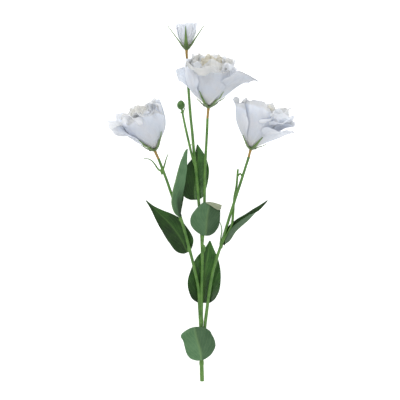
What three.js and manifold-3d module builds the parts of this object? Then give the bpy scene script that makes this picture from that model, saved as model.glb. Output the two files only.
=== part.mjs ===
// A cut spray of white double lisianthus that lies on its back on a flat surface.
// Millimetres. X runs to the right, Y from the cut end of the stem to the flowers, Z up from the surface.
import * as THREE from "three";
import { mergeVertices } from "three/addons/utils/BufferGeometryUtils.js";
import Module from "manifold-3d";

const wasm = await Module();
wasm.setup();

// Driving dimensions
const GAP = 0.3;
const PETAL_THICKNESS = 0.74;
const PETAL_STACK = 0.9;
const LEAF_THICKNESS = 0.8;
const SEPAL_THICKNESS = 0.8;
const SMOOTHING = 0.09;
const STEM_SIDES = 6;
const STEM_STEP = 9;
const PEDICEL_RADIUS = 1.3;
const SEPAL_WIDTH = 5.4;
const SEPAL_FIT = 1.3;
const CALYX_HEIGHT = 3;
const CALYX_RADIUS = 4.6;
const BUD_CALYX_RADIUS = 3.7;
const RECEPTACLE_HEIGHT = 2.2;
const CUP_SIDES = 10;
const STIGMA_RADIUS = 1.4;
const STAMENS = 5;
const PETAL_GRIDS = [[4, 7], [4, 4], [3, 4]];
const BUD_PETAL_GRID = [4, 4];
const LEAF_GRID = [6, 9];
const LEAF_CROWDING = 1.3;
const FOLDED_WIDTH = 6;
const WHITE = { color: 0xdde2ea, roughness: 0.6, metalness: 0 };
const CREAM = { color: 0xd8cf8a, roughness: 0.6, metalness: 0 };
const STEM_GREEN = { color: 0x64904f, roughness: 0.5, metalness: 0 };
const SEPAL_GREEN = { color: 0x5f7f3f, roughness: 0.5, metalness: 0 };
const LEAF_GREEN = { color: 0x46663f, roughness: 0.45, metalness: 0 };
const AMBER = { color: 0x96733a, roughness: 0.5, metalness: 0 };

// The stems: centre lines through points on their curve, and the radius at each end.
const STEMS = {
  stalk: {
    route: [[1.6, -180.4, 2.1], [1.3, -169.5, 2.5], [1, -159.5, 3.5], [0.7, -142.5, 5.5], [0.6, -122.5, 7]],
    radii: [2.1, 2],
  },
  left: {
    route: [
      [0.6, -132, 6.3], [-0.9, -107.5, 7], [-1.9, -87.5, 7], [-5.9, -67.5, 8], [-9.1, -54.5, 9],
      [-14.5, -34, 10.5], [-19.9, -15.5, 12], [-22.8, -8, 12.6], [-28.4, 6.4, 13.6], [-34, 22.7, 15.6], [-41.9, 43.6, 19],
    ],
    radii: [1.7, 1.35],
  },
  back: {
    route: [
      [0.9, -132, 6.3], [1, -99.5, 7], [1.9, -59.5, 8], [1.1, -32.5, 8], [-1.7, -0.5, 8], [-3.7, 24.5, 7.6],
      [-6.2, 46.5, 7], [-8.2, 69.5, 6.2], [-10, 86.5, 4.6], [-11.4, 103.9, 3], [-12.6, 122.5, 2.3], [-13.2, 133, 2.6],
      [-13.6, 144, 7],
    ],
    radii: [1.75, 1.3],
  },
  middle: {
    route: [
      [1.6, -44, 8.2], [2.9, -25.5, 9], [3.8, -7.5, 9.5], [4.3, 20.5, 9.3], [4.5, 35, 9.2], [5.5, 52.5, 9.6],
      [6.7, 75.5, 11], [7, 84.6, 12],
    ],
    radii: [1.5, 1.35],
  },
  right: {
    route: [
      [1.2, -146, 5], [3.2, -134, 6], [5.8, -113, 7.4], [8.3, -93.9, 8], [11.6, -73.7, 8.6], [14.8, -61, 9.2],
      [20.9, -41.8, 10.4], [24.1, -31.5, 11.4], [28.2, -17.5, 13], [34.5, 2.5, 14.6], [41, 22.5, 16.6], [48.3, 45.5, 18.2],
    ],
    radii: [1.7, 1.35],
  },
  side: {
    route: [
      [21.2, -42, 10.8], [26, -33.5, 12.2], [29, -28, 12.8], [31.4, -22.5, 13], [32.8, -10.5, 12.4],
      [34, 5.5, 11.8], [36, 15.5, 12.4], [37.5, 33.4, 15],
    ],
    radii: [1.35, 1.1],
  },
  bud: {
    route: [
      [-5.9, 38, 7], [-9.4, 50.5, 8.4], [-11.4, 59.1, 9], [-15.7, 78.1, 8.6], [-18.2, 90.5, 7.4], [-18.7, 93.6, 7.2],
    ],
    radii: [1.3, 1.1],
  },
};

// Thin bracts, the tendril and short stubs on the stems.
const BRACTS = {
  left_low: {
    route: [[-38.9, 31, 17], [-42.5, 33.5, 18], [-45.5, 38, 18.6], [-49, 42, 18], [-52.5, 43.7, 17], [-57.2, 43.9, 16]],
    radii: [1, 0.4],
  },
  left_high: {
    route: [[-37.8, 32, 16.8], [-36, 37.5, 18], [-34, 44.5, 19.4], [-32.2, 48.7, 20]],
    radii: [1, 0.4],
  },
  bud_left: { route: [[-18.2, 90, 7.4], [-20.5, 91.1, 7.8]], radii: [0.8, 0.4] },
  bud_right: { route: [[-18, 89, 7.4], [-15.7, 95.3, 8.6]], radii: [0.8, 0.4] },
  tendril: {
    route: [[20.1, -41, 11], [20.5, -34.6, 12.6], [21.4, -29, 13.6], [20.8, -23.4, 13.2], [19.4, -19.9, 12]],
    radii: [0.8, 0.4],
  },
  thorn: { route: [[-10.6, 56.5, 8.8], [-9.2, 58.5, 10.6]], radii: [0.7, 0.4] },
  web: { route: [[37, 26, 13.4], [40, 29, 15.6], [41.8, 25.6, 17.4]], radii: [0.9, 0.8] },
};

// Swollen joints where leaves and branches leave the stems: place and radius.
const JOINTS = [
  [[1.3, -173, 2.6], 2.3], [[1.1, -161.8, 3.2], 2.5], [[0.7, -120, 7], 2.5], [[3.4, -46.5, 8.2], 1.8],
  [[20.9, -41.8, 10.4], 2.1], [[-38.6, 31.6, 17], 1.7], [[-20.3, -15, 12], 1.8], [[-11.8, -46, 9.6], 1.8],
];

// The leaves: midrib, half width to the left and right at ten places from base to tip, and fold and cup of each side.
const LEAVES = {
  leaf_bottom: {
    midrib: [
      [1, -158.8, 7], [-0.6, -148, 12.4], [-3.2, -138.5, 15.4], [-5, -130.9, 16], [-5.8, -125.6, 14.2], [-6, -125.4, 11],
      [-6.2, -128, 8.6],
    ],
    left: [3, 9, 11.5, 13, 13.8, 14.4, 14.2, 10, 6, 1], right: [2, 9.5, 13.5, 16.5, 17.3, 17, 16, 14.5, 9, 1],
    fold: [6, -6], cup: [-10, -8], wave: 0.5,
  },
  leaf_low: {
    midrib: [[3.2, -101.2, 4.6], [3.6, -90, 3], [4.6, -76, 1.8], [6, -62, 1.6], [8, -50, 1.4], [9.6, -38.5, 1]],
    left: [6, 12, 15, 17, 17.4, 16, 13.7, 10.4, 4.6, 0.5], right: [6, 11, 14, 15.8, 16.2, 15.8, 14.4, 11.4, 5.9, 0.5],
    fold: [5, 6], cup: [5, 3], wave: 0.6,
  },
  leaf_centre: {
    midrib: [[5.4, -33.4, 11], [6, -25, 15], [6.8, -15, 17.4], [8, -7, 17.6], [9.6, -1.4, 16.2], [10.2, -0.4, 14]],
    left: [3, 8, 12, 15, 16.6, 16.8, 15.4, 12.4, 8.6, 4], right: [3, 8, 10.6, 12.4, 13.4, 13.8, 13.6, 13.2, 12.4, 10.5],
    fold: [4, -8], cup: [-8, -12], wave: 0.5,
  },
  leaf_left: {
    midrib: [[-13.4, -50.4, 6.4], [-19.2, -37.8, 4.6], [-29.3, -23.5, 3], [-42, -10.5, 2.2], [-55, 2, 1]],
    left: [3, 9, 11.4, 12, 12.3, 11.3, 9.7, 6.6, 3.1, 0.5], right: [3, 8, 11.5, 12, 11.8, 11.6, 8.7, 4.8, 1.6, 0.5],
    fold: [6, 6], cup: [5, 5], wave: 0.6,
  },
  leaf_folded: {
    midrib: [
      [-20.8, -14.6, 12.8], [-25.6, -10.2, 16.8], [-28.6, -1, 19], [-27.4, 11.5, 19.6], [-24.8, 21.7, 19.2],
      [-22.3, 32, 18.4], [-18.6, 44, 17], [-13.1, 53.8, 14.6],
    ],
    left: [1.5, 6, 10, 12, 12.4, 10.6, 8.4, 6.4, 4, 0.5], right: [2, 6, 9, 10, 10.4, 10.4, 9.6, 8.4, 5.6, 0.5],
    fold: [-158, 20], cup: [0, -8], wave: 0.3,
  },
  leaf_high: {
    midrib: [[-5.6, 3.8, 5.4], [-6, 12, 4], [-4.8, 24, 3], [-3.6, 36, 2.2], [-2.6, 46, 1.8], [-3.1, 58.6, 1]],
    left: [7, 10.6, 12, 12.7, 12.8, 12.1, 10.7, 6.4, 2.8, 0.5], right: [6.5, 9.4, 10.8, 12, 12.7, 13, 12.4, 9.7, 5.3, 0.5],
    fold: [4, 4], cup: [6, 5], wave: 0.5,
  },
  leaf_right: {
    midrib: [
      [23, -42.4, 8.6], [29, -38.2, 8.2], [35, -29.4, 7.8], [41.5, -23.2, 7.4], [48.3, -17.4, 6.8], [55.6, -9.5, 5.8],
      [61, -4, 5], [67.7, 2.1, 4],
    ],
    left: [2, 6, 8.4, 9, 8.8, 8, 6.5, 4.4, 2, 0.5], right: [2, 6, 8.6, 9.6, 9.6, 8.6, 6.6, 4.2, 2, 0.5],
    fold: [4, 118], cup: [4, 6], wave: 0.3,
  },
};

// What a petal has unless it says otherwise: how far its right edge lies outside the next petal, the curl of its
// edges, the degrees that its rim rolls out and where the roll starts, the height of its ruffles as a share of its
// width, and the twist of its free end.
const USUAL = { tilt: 0.12, curl: 0.06, roll: 40, rollFrom: 0.86, wave: 0.045, twist: 0 };
const RING_WAVE = 0.06;
const RING_ROLL = 30;

// A petal: azimuth round the bloom from the side that faces up, length, width, and the lean of its midline away
// from the bloom's axis at six places from foot to tip.
const petal = (at, long, wide, lean, more = {}) => ({ at, long, wide, lean, ...USUAL, ...more });

// A ring of like petals, each a little different by a seeded draw.
function ring(count, first, long, wide, lean, seed, roll = RING_ROLL) {
  const draw = new Random(seed);
  return Array.from({ length: count }, (_, i) => {
    const shift = draw.between(-1.5, 1.5);
    return petal(
      first + (i * 360) / count + draw.between(-4, 4),
      long * draw.between(0.95, 1.05),
      wide * draw.between(0.94, 1.06),
      lean.map((angle, k) => angle + (k * shift) / 3),
      { roll, wave: RING_WAVE },
    );
  });
}

// A small seeded generator of numbers, the same on every run.
class Random {
  constructor(seed) {
    this.state = seed;
  }
  between(low, high) {
    this.state = (this.state * 16807) % 2147483647;
    return low + ((high - low) * this.state) / 2147483647;
  }
}

// The blooms: foot of the calyx, direction of the axis, the layers of petals from outside in, and the sepals by
// azimuth, length and free lean.
const BLOOMS = {
  main: {
    foot: [7.9, 94.7, 12.6], axis: [0.07, 0.965, 0.25],
    layers: [
      [
        petal(-14, 66, 56, [50, 44, 28, 8, 0, 8], { tilt: 0.05, curl: 0, roll: 172, rollFrom: 0.64, wave: 0.04 }),
        petal(76, 57, 46, [50, 46, 38, 40, 58, 88], { tilt: 0.25, curl: 0.03, roll: 40, rollFrom: 0.85, wave: 0.05 }),
        petal(-112, 48, 15, [56, 52, 36, 24, 66, 104], { tilt: 0.1, curl: 0, roll: 20, wave: 0.09, twist: 0.9 }),
        petal(146, 53, 44, [50, 46, 32, 12, -2, -6], { tilt: 0.08, roll: 40 }),
        petal(-84, 53, 44, [52, 48, 38, 10, -4, -50], { tilt: -0.06, curl: 0, roll: 0 }),
      ],
      ring(5, 12, 51.5, 38, [42, 38, 24, 8, -4, -20], 17, 50),
      ring(4, 75, 49, 29, [30, 24, 12, 0, -8, -16], 29),
    ],
    sepals: [[-28, 27, 0], [40, 26, 0], [110, 18, 0], [182, 15, 0], [-100, 11, 0]],
  },
  left: {
    foot: [-45.5, 51.5, 18.6], axis: [-0.35, 0.915, 0.2],
    layers: [
      [
        petal(4, 49, 48, [46, 44, 32, 16, 10, 20], { tilt: 0.1, curl: 0, roll: 150, rollFrom: 0.7, wave: 0.035 }),
        petal(78, 50, 42, [46, 46, 30, 8, -2, -4], { tilt: 0.1, curl: 0, roll: 0, wave: 0.03 }),
        petal(-60, 47, 17, [46, 44, 32, 26, 60, 98], { tilt: 0.1, curl: 0, roll: 30, wave: 0.09, twist: 0.8 }),
        petal(150, 46, 42, [46, 42, 30, 18, 10, 20], { tilt: 0.1, roll: 60, wave: 0.05 }),
        petal(-132, 52, 42, [44, 40, 32, 22, 20, 28], { tilt: 0.05, roll: 50, wave: 0.05 }),
      ],
      [
        ...ring(5, 44, 47, 36, [40, 38, 26, 12, 4, 4], 41, 60),
        petal(-76, 52, 13, [42, 38, 34, 38, 42, 40], { tilt: 0, roll: 10, wave: 0.09, twist: 1.2 }),
      ],
      ring(4, 80, 44, 28, [32, 28, 14, 2, -8, -6], 53),
    ],
    sepals: [[-34, 24, 0], [40, 24, 0], [122, 20, 0], [186, 20, 0], [-104, 12, 0]],
  },
  right: {
    foot: [50.1, 52.7, 18.8], axis: [0.255, 0.955, 0.15],
    layers: [
      [
        petal(-16, 56, 48, [46, 42, 28, 12, 4, 0], { tilt: 0.04, curl: 0, roll: 90, rollFrom: 0.84, wave: 0.04 }),
        petal(66, 43, 42, [48, 50, 50, 54, 66, 84], { tilt: 0.2, curl: 0.03, roll: 30, wave: 0.08 }),
        petal(104, 45, 38, [46, 46, 42, 46, 50, 60], { tilt: 0.05, curl: 0.03, roll: 30, wave: 0.07 }),
        petal(-160, 48, 44, [46, 42, 28, 16, 12, 24], { tilt: 0.1, roll: 60, wave: 0.05 }),
        petal(-74, 53, 44, [48, 44, 34, 20, 12, 8], { tilt: 0.04, curl: 0, roll: 120, rollFrom: 0.8, wave: 0.05 }),
      ],
      [
        ...ring(5, 20, 49, 34, [40, 37, 24, 12, 8, 8], 61, 60),
        petal(130, 56, 38, [44, 42, 34, 26, 26, 40], { wave: 0.06 }),
      ],
      ring(4, 24, 44, 28, [32, 28, 14, 0, -8, -6], 73),
    ],
    sepals: [[-46, 18, 0], [26, 22, 0], [98, 14, 0], [172, 20, 0], [-128, 14, 0]],
  },
  top: {
    foot: [-14, 153.1, 10.6], axis: [0, 0.998, 0.06],
    layers: [
      [
        petal(20, 25, 20, [32, 26, 16, 8, 2, 4], { roll: 20 }),
        petal(92, 25.5, 18, [32, 26, 16, 10, 6, 8], { roll: 20 }),
        petal(164, 24.5, 19, [32, 26, 16, 8, 4, 6], { roll: 20 }),
        petal(-124, 25, 18, [32, 26, 16, 10, 6, 6], { roll: 20 }),
        petal(-52, 24.5, 19, [32, 26, 16, 8, 2, 2], { roll: 20 }),
      ],
    ],
    sepals: [[-64, 30, 40], [-4, 25, 6], [62, 29, 38], [140, 26, 24], [-146, 26, 24]],
  },
};
const LAYER_RADII = [3.9, 3, 2.1];
const OPENING_BUD_RADIUS = 2.7;
const RUFFLE_WAVES = 9;
const GREEN_BUD = { centre: [-19.7, 97.9, 7], radii: [4.1, 4.5, 4.1] };

const point = (xyz) => new THREE.Vector3(...xyz);
const radians = THREE.MathUtils.degToRad;
const smooth = (low, high, x) => THREE.MathUtils.smoothstep(x, low, high);

// Turns a closed geometry into a solid.
function solidOf(geometry) {
  geometry.deleteAttribute("normal");
  geometry.deleteAttribute("uv");
  const merged = mergeVertices(geometry, 1e-4);
  return new wasm.Manifold(
    new wasm.Mesh({
      numProp: 3,
      vertProperties: new Float32Array(merged.attributes.position.array),
      triVerts: new Uint32Array(merged.index.array),
    }),
  );
}

// Joins solids into one.
const fuse = (solids) => solids.reduce((whole, piece) => whole.add(piece));

// The largest body of a solid, without scraps that a cut leaves.
const largest = (solid) => solid.decompose().reduce((a, b) => (b.volume() > a.volume() ? b : a));

// A joined solid in as few triangles as keep its shape.
const tidy = (solid) => largest(solid.asOriginal().simplify(SMOOTHING));

// Makes the named mesh of a solid.
function meshOf(name, solid, finish) {
  const data = solid.getMesh();
  const geometry = new THREE.BufferGeometry();
  geometry.setAttribute("position", new THREE.BufferAttribute(new Float32Array(data.vertProperties), 3));
  geometry.setIndex(new THREE.BufferAttribute(new Uint32Array(data.triVerts), 1));
  geometry.computeVertexNormals();
  const mesh = new THREE.Mesh(geometry, new THREE.MeshStandardMaterial(finish));
  mesh.name = name;
  return mesh;
}

// A tapering stem: a capped cylinder whose rings are carried along a smooth curve.
function stem({ route, radii }, grow = 0, sides = STEM_SIDES, step = STEM_STEP) {
  const curve = new THREE.CatmullRomCurve3(route.map(point), false, "centripetal");
  const steps = Math.max(2, Math.round(curve.getLength() / step));
  const frames = curve.computeFrenetFrames(steps, false);
  const geometry = new THREE.CylinderGeometry(1, 1, 1, sides, steps);
  const position = geometry.attributes.position;
  for (let i = 0; i < position.count; i++) {
    const along = position.getY(i) + 0.5;
    const k = Math.round(along * steps);
    const radius = THREE.MathUtils.lerp(radii[0], radii[1], along) + grow;
    const placed = curve
      .getPointAt(along)
      .addScaledVector(frames.normals[k], position.getX(i) * radius)
      .addScaledVector(frames.binormals[k], -position.getZ(i) * radius);
    position.setXYZ(i, placed.x, placed.y, placed.z);
  }
  return solidOf(geometry);
}

// A round knob at a place, with its radii along X, Y and Z.
function knob(centre, radii, sides = STEM_SIDES, rings = 4) {
  const geometry = new THREE.SphereGeometry(1, sides, rings);
  geometry.scale(...radii);
  geometry.translate(...centre);
  return solidOf(geometry);
}

// A thin blade over a surface of u from -1 to 1 and s from 0 to 1: the same triangles on both faces, joined round the rim.
// Where the blade would pass below what it rests on, it lies on it.
function blade(surface, [across, along], thickness, restHeight = () => 0) {
  const resting = (u, s) => {
    const place = surface(u, s);
    place.z = Math.max(place.z, restHeight(place.x, place.y) + thickness / 2);
    return place;
  };
  const grid = new THREE.PlaneGeometry(2, 1, across, along);
  const flat = grid.attributes.position;
  const count = flat.count;
  const step = 0.02;
  const places = new Float32Array(count * 6);
  for (let i = 0; i < count; i++) {
    const u = flat.getX(i);
    const s = flat.getY(i) + 0.5;
    const place = resting(u, s);
    const alongU = resting(u + step, s).sub(resting(u - step, s));
    const alongS = resting(u, Math.min(1, s + step)).sub(resting(u, Math.max(0, s - step)));
    const half = alongU.cross(alongS).setLength(thickness / 2);
    place.clone().add(half).toArray(places, i * 3);
    place.clone().sub(half).toArray(places, (count + i) * 3);
  }
  const top = Array.from(grid.index.array);
  const faces = [...top];
  for (let i = 0; i < top.length; i += 3) faces.push(top[i] + count, top[i + 2] + count, top[i + 1] + count);
  const rim = rimOf(across, along);
  rim.forEach((a, i) => {
    const b = rim[(i + 1) % rim.length];
    faces.push(b, a, a + count, b, a + count, b + count);
  });
  const geometry = new THREE.BufferGeometry();
  geometry.setAttribute("position", new THREE.BufferAttribute(places, 3));
  geometry.setIndex(faces);
  return solidOf(geometry);
}

// The rim of a plane's grid, counter-clockwise from its lower left corner.
function rimOf(across, along) {
  const row = across + 1;
  const rim = [];
  for (let i = 0; i < across; i++) rim.push(along * row + i);
  for (let k = along; k > 0; k--) rim.push(k * row + across);
  for (let i = across; i > 0; i--) rim.push(i);
  for (let k = 0; k < along; k++) rim.push(k * row);
  return rim;
}

// The bloom's own directions: along its axis, toward the side that faces up, and to the right.
function frameOf(bloom) {
  const axis = point(bloom.axis).normalize();
  const front = new THREE.Vector3(0, 0, 1).addScaledVector(axis, -axis.z).normalize();
  const right = new THREE.Vector3().crossVectors(axis, front);
  return { foot: point(bloom.foot), axis, front, right };
}

// A value between the entries of a list, for a place from 0 to 1 along it.
function between(list, place) {
  const t = THREE.MathUtils.clamp(place, 0, 1) * (list.length - 1);
  const k = Math.min(list.length - 2, Math.floor(t));
  return THREE.MathUtils.lerp(list[k], list[k + 1], t - k);
}

// A petal's half width along its length: a narrow claw, a wide blade and a rounded top.
function petalHalfWidth(wide, s) {
  const open = 0.1 + 0.9 * Math.pow(Math.sin((Math.PI / 2) * Math.min(1, s / 0.72)), 1.25);
  return (wide / 2) * open * (1 - 0.22 * Math.pow(Math.max(0, (s - 0.72) / 0.28), 2));
}

// The lean of a petal's midline away from the bloom's axis, in radians.
const leanAt = (shape, place) => radians(between(shape.lean, place) + shape.roll * smooth(shape.rollFrom, 1, place));

// The surface of a petal: its midline leans away from the axis and its cross-section is an arc round the axis.
function petalSurface(bloom, shape, footRadius) {
  const { foot, axis, front, right } = frameOf(bloom);
  const azimuth = radians(shape.at);
  const out = front.clone().multiplyScalar(Math.cos(azimuth)).addScaledVector(right, Math.sin(azimuth));
  const side = front.clone().multiplyScalar(-Math.sin(azimuth)).addScaledVector(right, Math.cos(azimuth));
  const pieces = 40;
  const radiusAt = [footRadius];
  const heightAt = [CALYX_HEIGHT + RECEPTACLE_HEIGHT / 2];
  for (let k = 0; k < pieces; k++) {
    const lean = leanAt(shape, (k + 0.5) / pieces);
    radiusAt.push(radiusAt[k] + (Math.sin(lean) * shape.long) / pieces);
    heightAt.push(heightAt[k] + (Math.cos(lean) * shape.long) / pieces);
  }
  return (u, s) => {
    const place = s * (1 - 0.24 * u * u * s);
    const lean = leanAt(shape, place);
    const radius = between(radiusAt, place);
    const height = between(heightAt, place);
    const width = petalHalfWidth(shape.wide, s);
    const bend = (1.08 * radius) / Math.max(Math.cos(lean), 0.8) + 0.5;
    const turn = (u * width) / bend;
    const curl = shape.curl * width * Math.pow(Math.abs(u), 3) * smooth(0.3, 1, s);
    const wave = Math.sin(RUFFLE_WAVES * (azimuth + turn * Math.cos(lean)) + footRadius + 2.2 * s);
    const ruffle = shape.wave * shape.wide * Math.pow(smooth(0.5, 1, s), 1.4) * wave;
    const slant = shape.tilt + shape.twist * smooth(0.4, 0.95, s);
    const lift = curl + ruffle + slant * u * width - bend * (1 - Math.cos(turn));
    const normal = out.clone().multiplyScalar(Math.cos(lean)).addScaledVector(axis, -Math.sin(lean));
    return foot
      .clone()
      .addScaledVector(axis, height)
      .addScaledVector(out, radius)
      .addScaledVector(side, bend * Math.sin(turn))
      .addScaledVector(normal, lift);
  };
}

// What the blooms rest on: the surface, and under the main bloom also the stem that runs beneath it.
function restHeight(x, y) {
  const { route, radii } = STEMS.back;
  const k = route.findIndex((place) => place[1] > y);
  if (k < 1) return 0;
  const [low, high] = [route[k - 1], route[k]];
  const part = (y - low[1]) / (high[1] - low[1]);
  const off = Math.abs(x - THREE.MathUtils.lerp(low[0], high[0], part));
  const top = THREE.MathUtils.lerp(low[2], high[2], part) + radii[0] + 3 * GAP;
  return top * (1 - smooth(3, 9, off));
}

// A solid turned about the bloom's axis, from a profile of radius and height.
function turned(bloom, profile, sides) {
  const { foot, axis, front, right } = frameOf(bloom);
  const geometry = new THREE.LatheGeometry(profile.map(([r, h]) => new THREE.Vector2(r, h)), sides);
  const basis = new THREE.Matrix4().makeBasis(right, axis, front);
  geometry.applyMatrix4(basis.setPosition(foot));
  return solidOf(geometry);
}

// The petals of a bloom as surfaces with the rows of their grids, from the outer layer in.
function petalsOf(bloom) {
  const open = bloom.layers.length > 1;
  const radii = open ? LAYER_RADII : [OPENING_BUD_RADIUS];
  const grids = open ? PETAL_GRIDS : [BUD_PETAL_GRID];
  return bloom.layers.flatMap((layer, k) =>
    layer.map((shape) => ({ surface: petalSurface(bloom, shape, radii[k]), grid: grids[k] })),
  );
}

// The white corolla: petals in their layers on a small receptacle.
function corolla(bloom) {
  const low = CALYX_HEIGHT + GAP;
  const wide = calyxRadius(bloom) - 0.1;
  const high = low + RECEPTACLE_HEIGHT;
  const profile = [[0, low], [0.8 * wide, low], [wide, (low + high) / 2], [0.8 * wide, high], [0, high]];
  const receptacle = turned(bloom, profile, CUP_SIDES);
  const sheets = petalsOf(bloom).map(({ surface, grid }, i) => {
    const below = PETAL_STACK * ((i % 3) + 3 * Math.floor(i / 5));
    return blade(surface, grid, PETAL_THICKNESS, (x, y) => restHeight(x, y) + below);
  });
  return tidy(fuse([receptacle, ...sheets]));
}

// The radius of the calyx cup, which is smaller under the opening bud.
const calyxRadius = (bloom) => (bloom.layers.length > 1 ? CALYX_RADIUS : BUD_CALYX_RADIUS);

// How far the petals reach from the bloom's axis near an azimuth, at each height.
function outerRadius(bloom) {
  const { foot, axis, front, right } = frameOf(bloom);
  const samples = [];
  for (const { surface } of petalsOf(bloom)) {
    for (let u = -1; u <= 1; u += 0.1) {
      for (let s = 0; s <= 1; s += 0.04) {
        const place = surface(u, s).sub(foot);
        const [f, r] = [place.dot(front), place.dot(right)];
        samples.push({ height: place.dot(axis), radius: Math.hypot(f, r), azimuth: Math.atan2(r, f) });
      }
    }
  }
  return (azimuth, height) => {
    let most = calyxRadius(bloom) - SEPAL_FIT;
    for (const one of samples) {
      const turnBy = Math.abs(Math.atan2(Math.sin(one.azimuth - azimuth), Math.cos(one.azimuth - azimuth)));
      if (turnBy * one.radius < 3 && Math.abs(one.height - height) < 1.4) most = Math.max(most, one.radius);
    }
    return most;
  };
}

// A sepal: a narrow pointed blade that follows the outside of the corolla.
function sepalSurface(bloom, reach, [at, long, lean]) {
  const { foot, axis, front, right } = frameOf(bloom);
  const azimuth = radians(at);
  const out = front.clone().multiplyScalar(Math.cos(azimuth)).addScaledVector(right, Math.sin(azimuth));
  const side = front.clone().multiplyScalar(-Math.sin(azimuth)).addScaledVector(right, Math.cos(azimuth));
  const start = point([0.55 * calyxRadius(bloom), 0.55 * CALYX_HEIGHT, 0]);
  const clear = (height) =>
    Math.max(reach(azimuth, height) + SEPAL_FIT, start.x + Math.tan(radians(lean)) * (height - start.y));
  const places = [start];
  while (places.length < 9) {
    const last = places[places.length - 1];
    const next = last.clone().add(new THREE.Vector3(1.4, 2, 0).setLength(long / 8));
    for (let pass = 0; pass < 3; pass++) {
      next.x = clear(next.y);
      next.sub(last).setLength(long / 8).add(last);
    }
    next.x = Math.max(next.x, clear(next.y));
    places.push(next);
  }
  const line = new THREE.CatmullRomCurve3(places);
  return (u, s) => {
    const place = line.getPointAt(THREE.MathUtils.clamp(s, 0, 1));
    const width = (SEPAL_WIDTH / 2) * (1 - 0.88 * Math.pow(s, 0.8));
    return foot
      .clone()
      .addScaledVector(axis, place.y)
      .addScaledVector(out, place.x)
      .addScaledVector(side, u * width);
  };
}

// The green calyx: a short cup under the bloom with five sepals.
function calyx(bloom) {
  const wide = calyxRadius(bloom);
  const profile = [[0, 0], [1.5, 0], [0.7 * wide, 0.35 * CALYX_HEIGHT], [wide, CALYX_HEIGHT], [0, CALYX_HEIGHT]];
  const cup = turned(bloom, profile, CUP_SIDES);
  const reach = outerRadius(bloom);
  const sepals = bloom.sepals.map((shape) => blade(sepalSurface(bloom, reach, shape), [1, 6], SEPAL_THICKNESS));
  return tidy(fuse([cup, ...sepals]));
}

// The heart of an open bloom: ovary, style with a two-lobed stigma, and five stamens.
function heart(bloom) {
  const { foot, axis, front, right } = frameOf(bloom);
  const low = CALYX_HEIGHT + 2 * GAP + RECEPTACLE_HEIGHT;
  const at = (outward, azimuth, height) => {
    const place = foot.clone().addScaledVector(axis, height);
    place.addScaledVector(front, outward * Math.cos(azimuth)).addScaledVector(right, outward * Math.sin(azimuth));
    return place.toArray();
  };
  const ovary = [
    [0, low], [1.2, low], [1.9, low + 2], [1.4, low + 4.4], [0.6, low + 6], [0.5, low + 11], [0, low + 11],
  ];
  const pieces = [
    turned(bloom, ovary, STEM_SIDES),
    knob(at(0.8, 0.6, low + 11.2), [STIGMA_RADIUS, STIGMA_RADIUS, STIGMA_RADIUS], 5, 3),
    knob(at(0.8, 0.6 + Math.PI, low + 11.2), [STIGMA_RADIUS, STIGMA_RADIUS, STIGMA_RADIUS], 5, 3),
  ];
  for (let k = 0; k < STAMENS; k++) {
    const azimuth = (k * 2 * Math.PI) / STAMENS;
    const route = [at(1, azimuth, low + 2), at(2.6, azimuth, low + 5.5), at(3.2, azimuth, low + 8)];
    pieces.push(stem({ route, radii: [0.5, 0.45] }, 0, 3, 4), knob(at(3.2, azimuth, low + 8.4), [1, 1.4, 1], 4, 3));
  }
  return tidy(fuse(pieces));
}

// The surface of a leaf: two sides that fold along the midrib, each with its own half widths and its own cup.
// Its rows lie closer together toward the base, where the outline is round, and a narrow end is folded less.
function leafSurface({ midrib, left, right, fold, cup, wave }) {
  const curve = new THREE.CatmullRomCurve3(midrib.map(point), false, "centripetal");
  const chord = point(midrib[midrib.length - 1]).sub(point(midrib[0]));
  const across = new THREE.Vector3(chord.y, -chord.x, 0).normalize();
  return (u, s) => {
    const row = THREE.MathUtils.clamp(s, 0, 1);
    const along = Math.pow(row, LEAF_CROWDING);
    const tangent = curve.getTangentAt(along);
    const side = across.clone().addScaledVector(tangent, -across.dot(tangent)).normalize();
    const normal = new THREE.Vector3().crossVectors(side, tangent);
    const which = u < 0 ? 0 : 1;
    const half = between([left, right][which], row);
    const bend = radians(fold[which] * Math.min(1, half / FOLDED_WIDTH) + cup[which] * Math.abs(u));
    const ripple = wave * u * u * Math.sin(9 * along + 2 * which) * Math.min(1, half / 5);
    return curve
      .getPointAt(along)
      .addScaledVector(side, u * half * Math.cos(bend))
      .addScaledVector(normal, Math.abs(u) * half * Math.sin(bend) + ripple);
  };
}

// The small closed bud: an egg with five shallow grooves between its sepals.
function greenBud() {
  const geometry = new THREE.SphereGeometry(1, 15, 8);
  const position = geometry.attributes.position;
  for (let i = 0; i < position.count; i++) {
    const place = new THREE.Vector3().fromBufferAttribute(position, i);
    const ridge = 1 - 0.06 * Math.pow(Math.cos(2.5 * Math.atan2(place.x, place.z)), 8);
    position.setXYZ(i, place.x * ridge, place.y, place.z * ridge);
  }
  geometry.scale(...GREEN_BUD.radii);
  geometry.translate(...GREEN_BUD.centre);
  return solidOf(geometry);
}

// Every green stem, branch and bract as one body, or grown a little, as the room that other pieces leave for it.
function stems(grow) {
  const sides = Object.values(STEMS).map((one) => stem(one, grow));
  const bracts = Object.values(BRACTS).map((one) => stem(one, grow, 4, 6));
  const joints = JOINTS.map(([centre, radius]) =>
    knob(centre, [radius + grow, 1.3 * radius + grow, radius + grow]),
  );
  return tidy(fuse([...sides, ...joints, ...bracts]));
}

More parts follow.
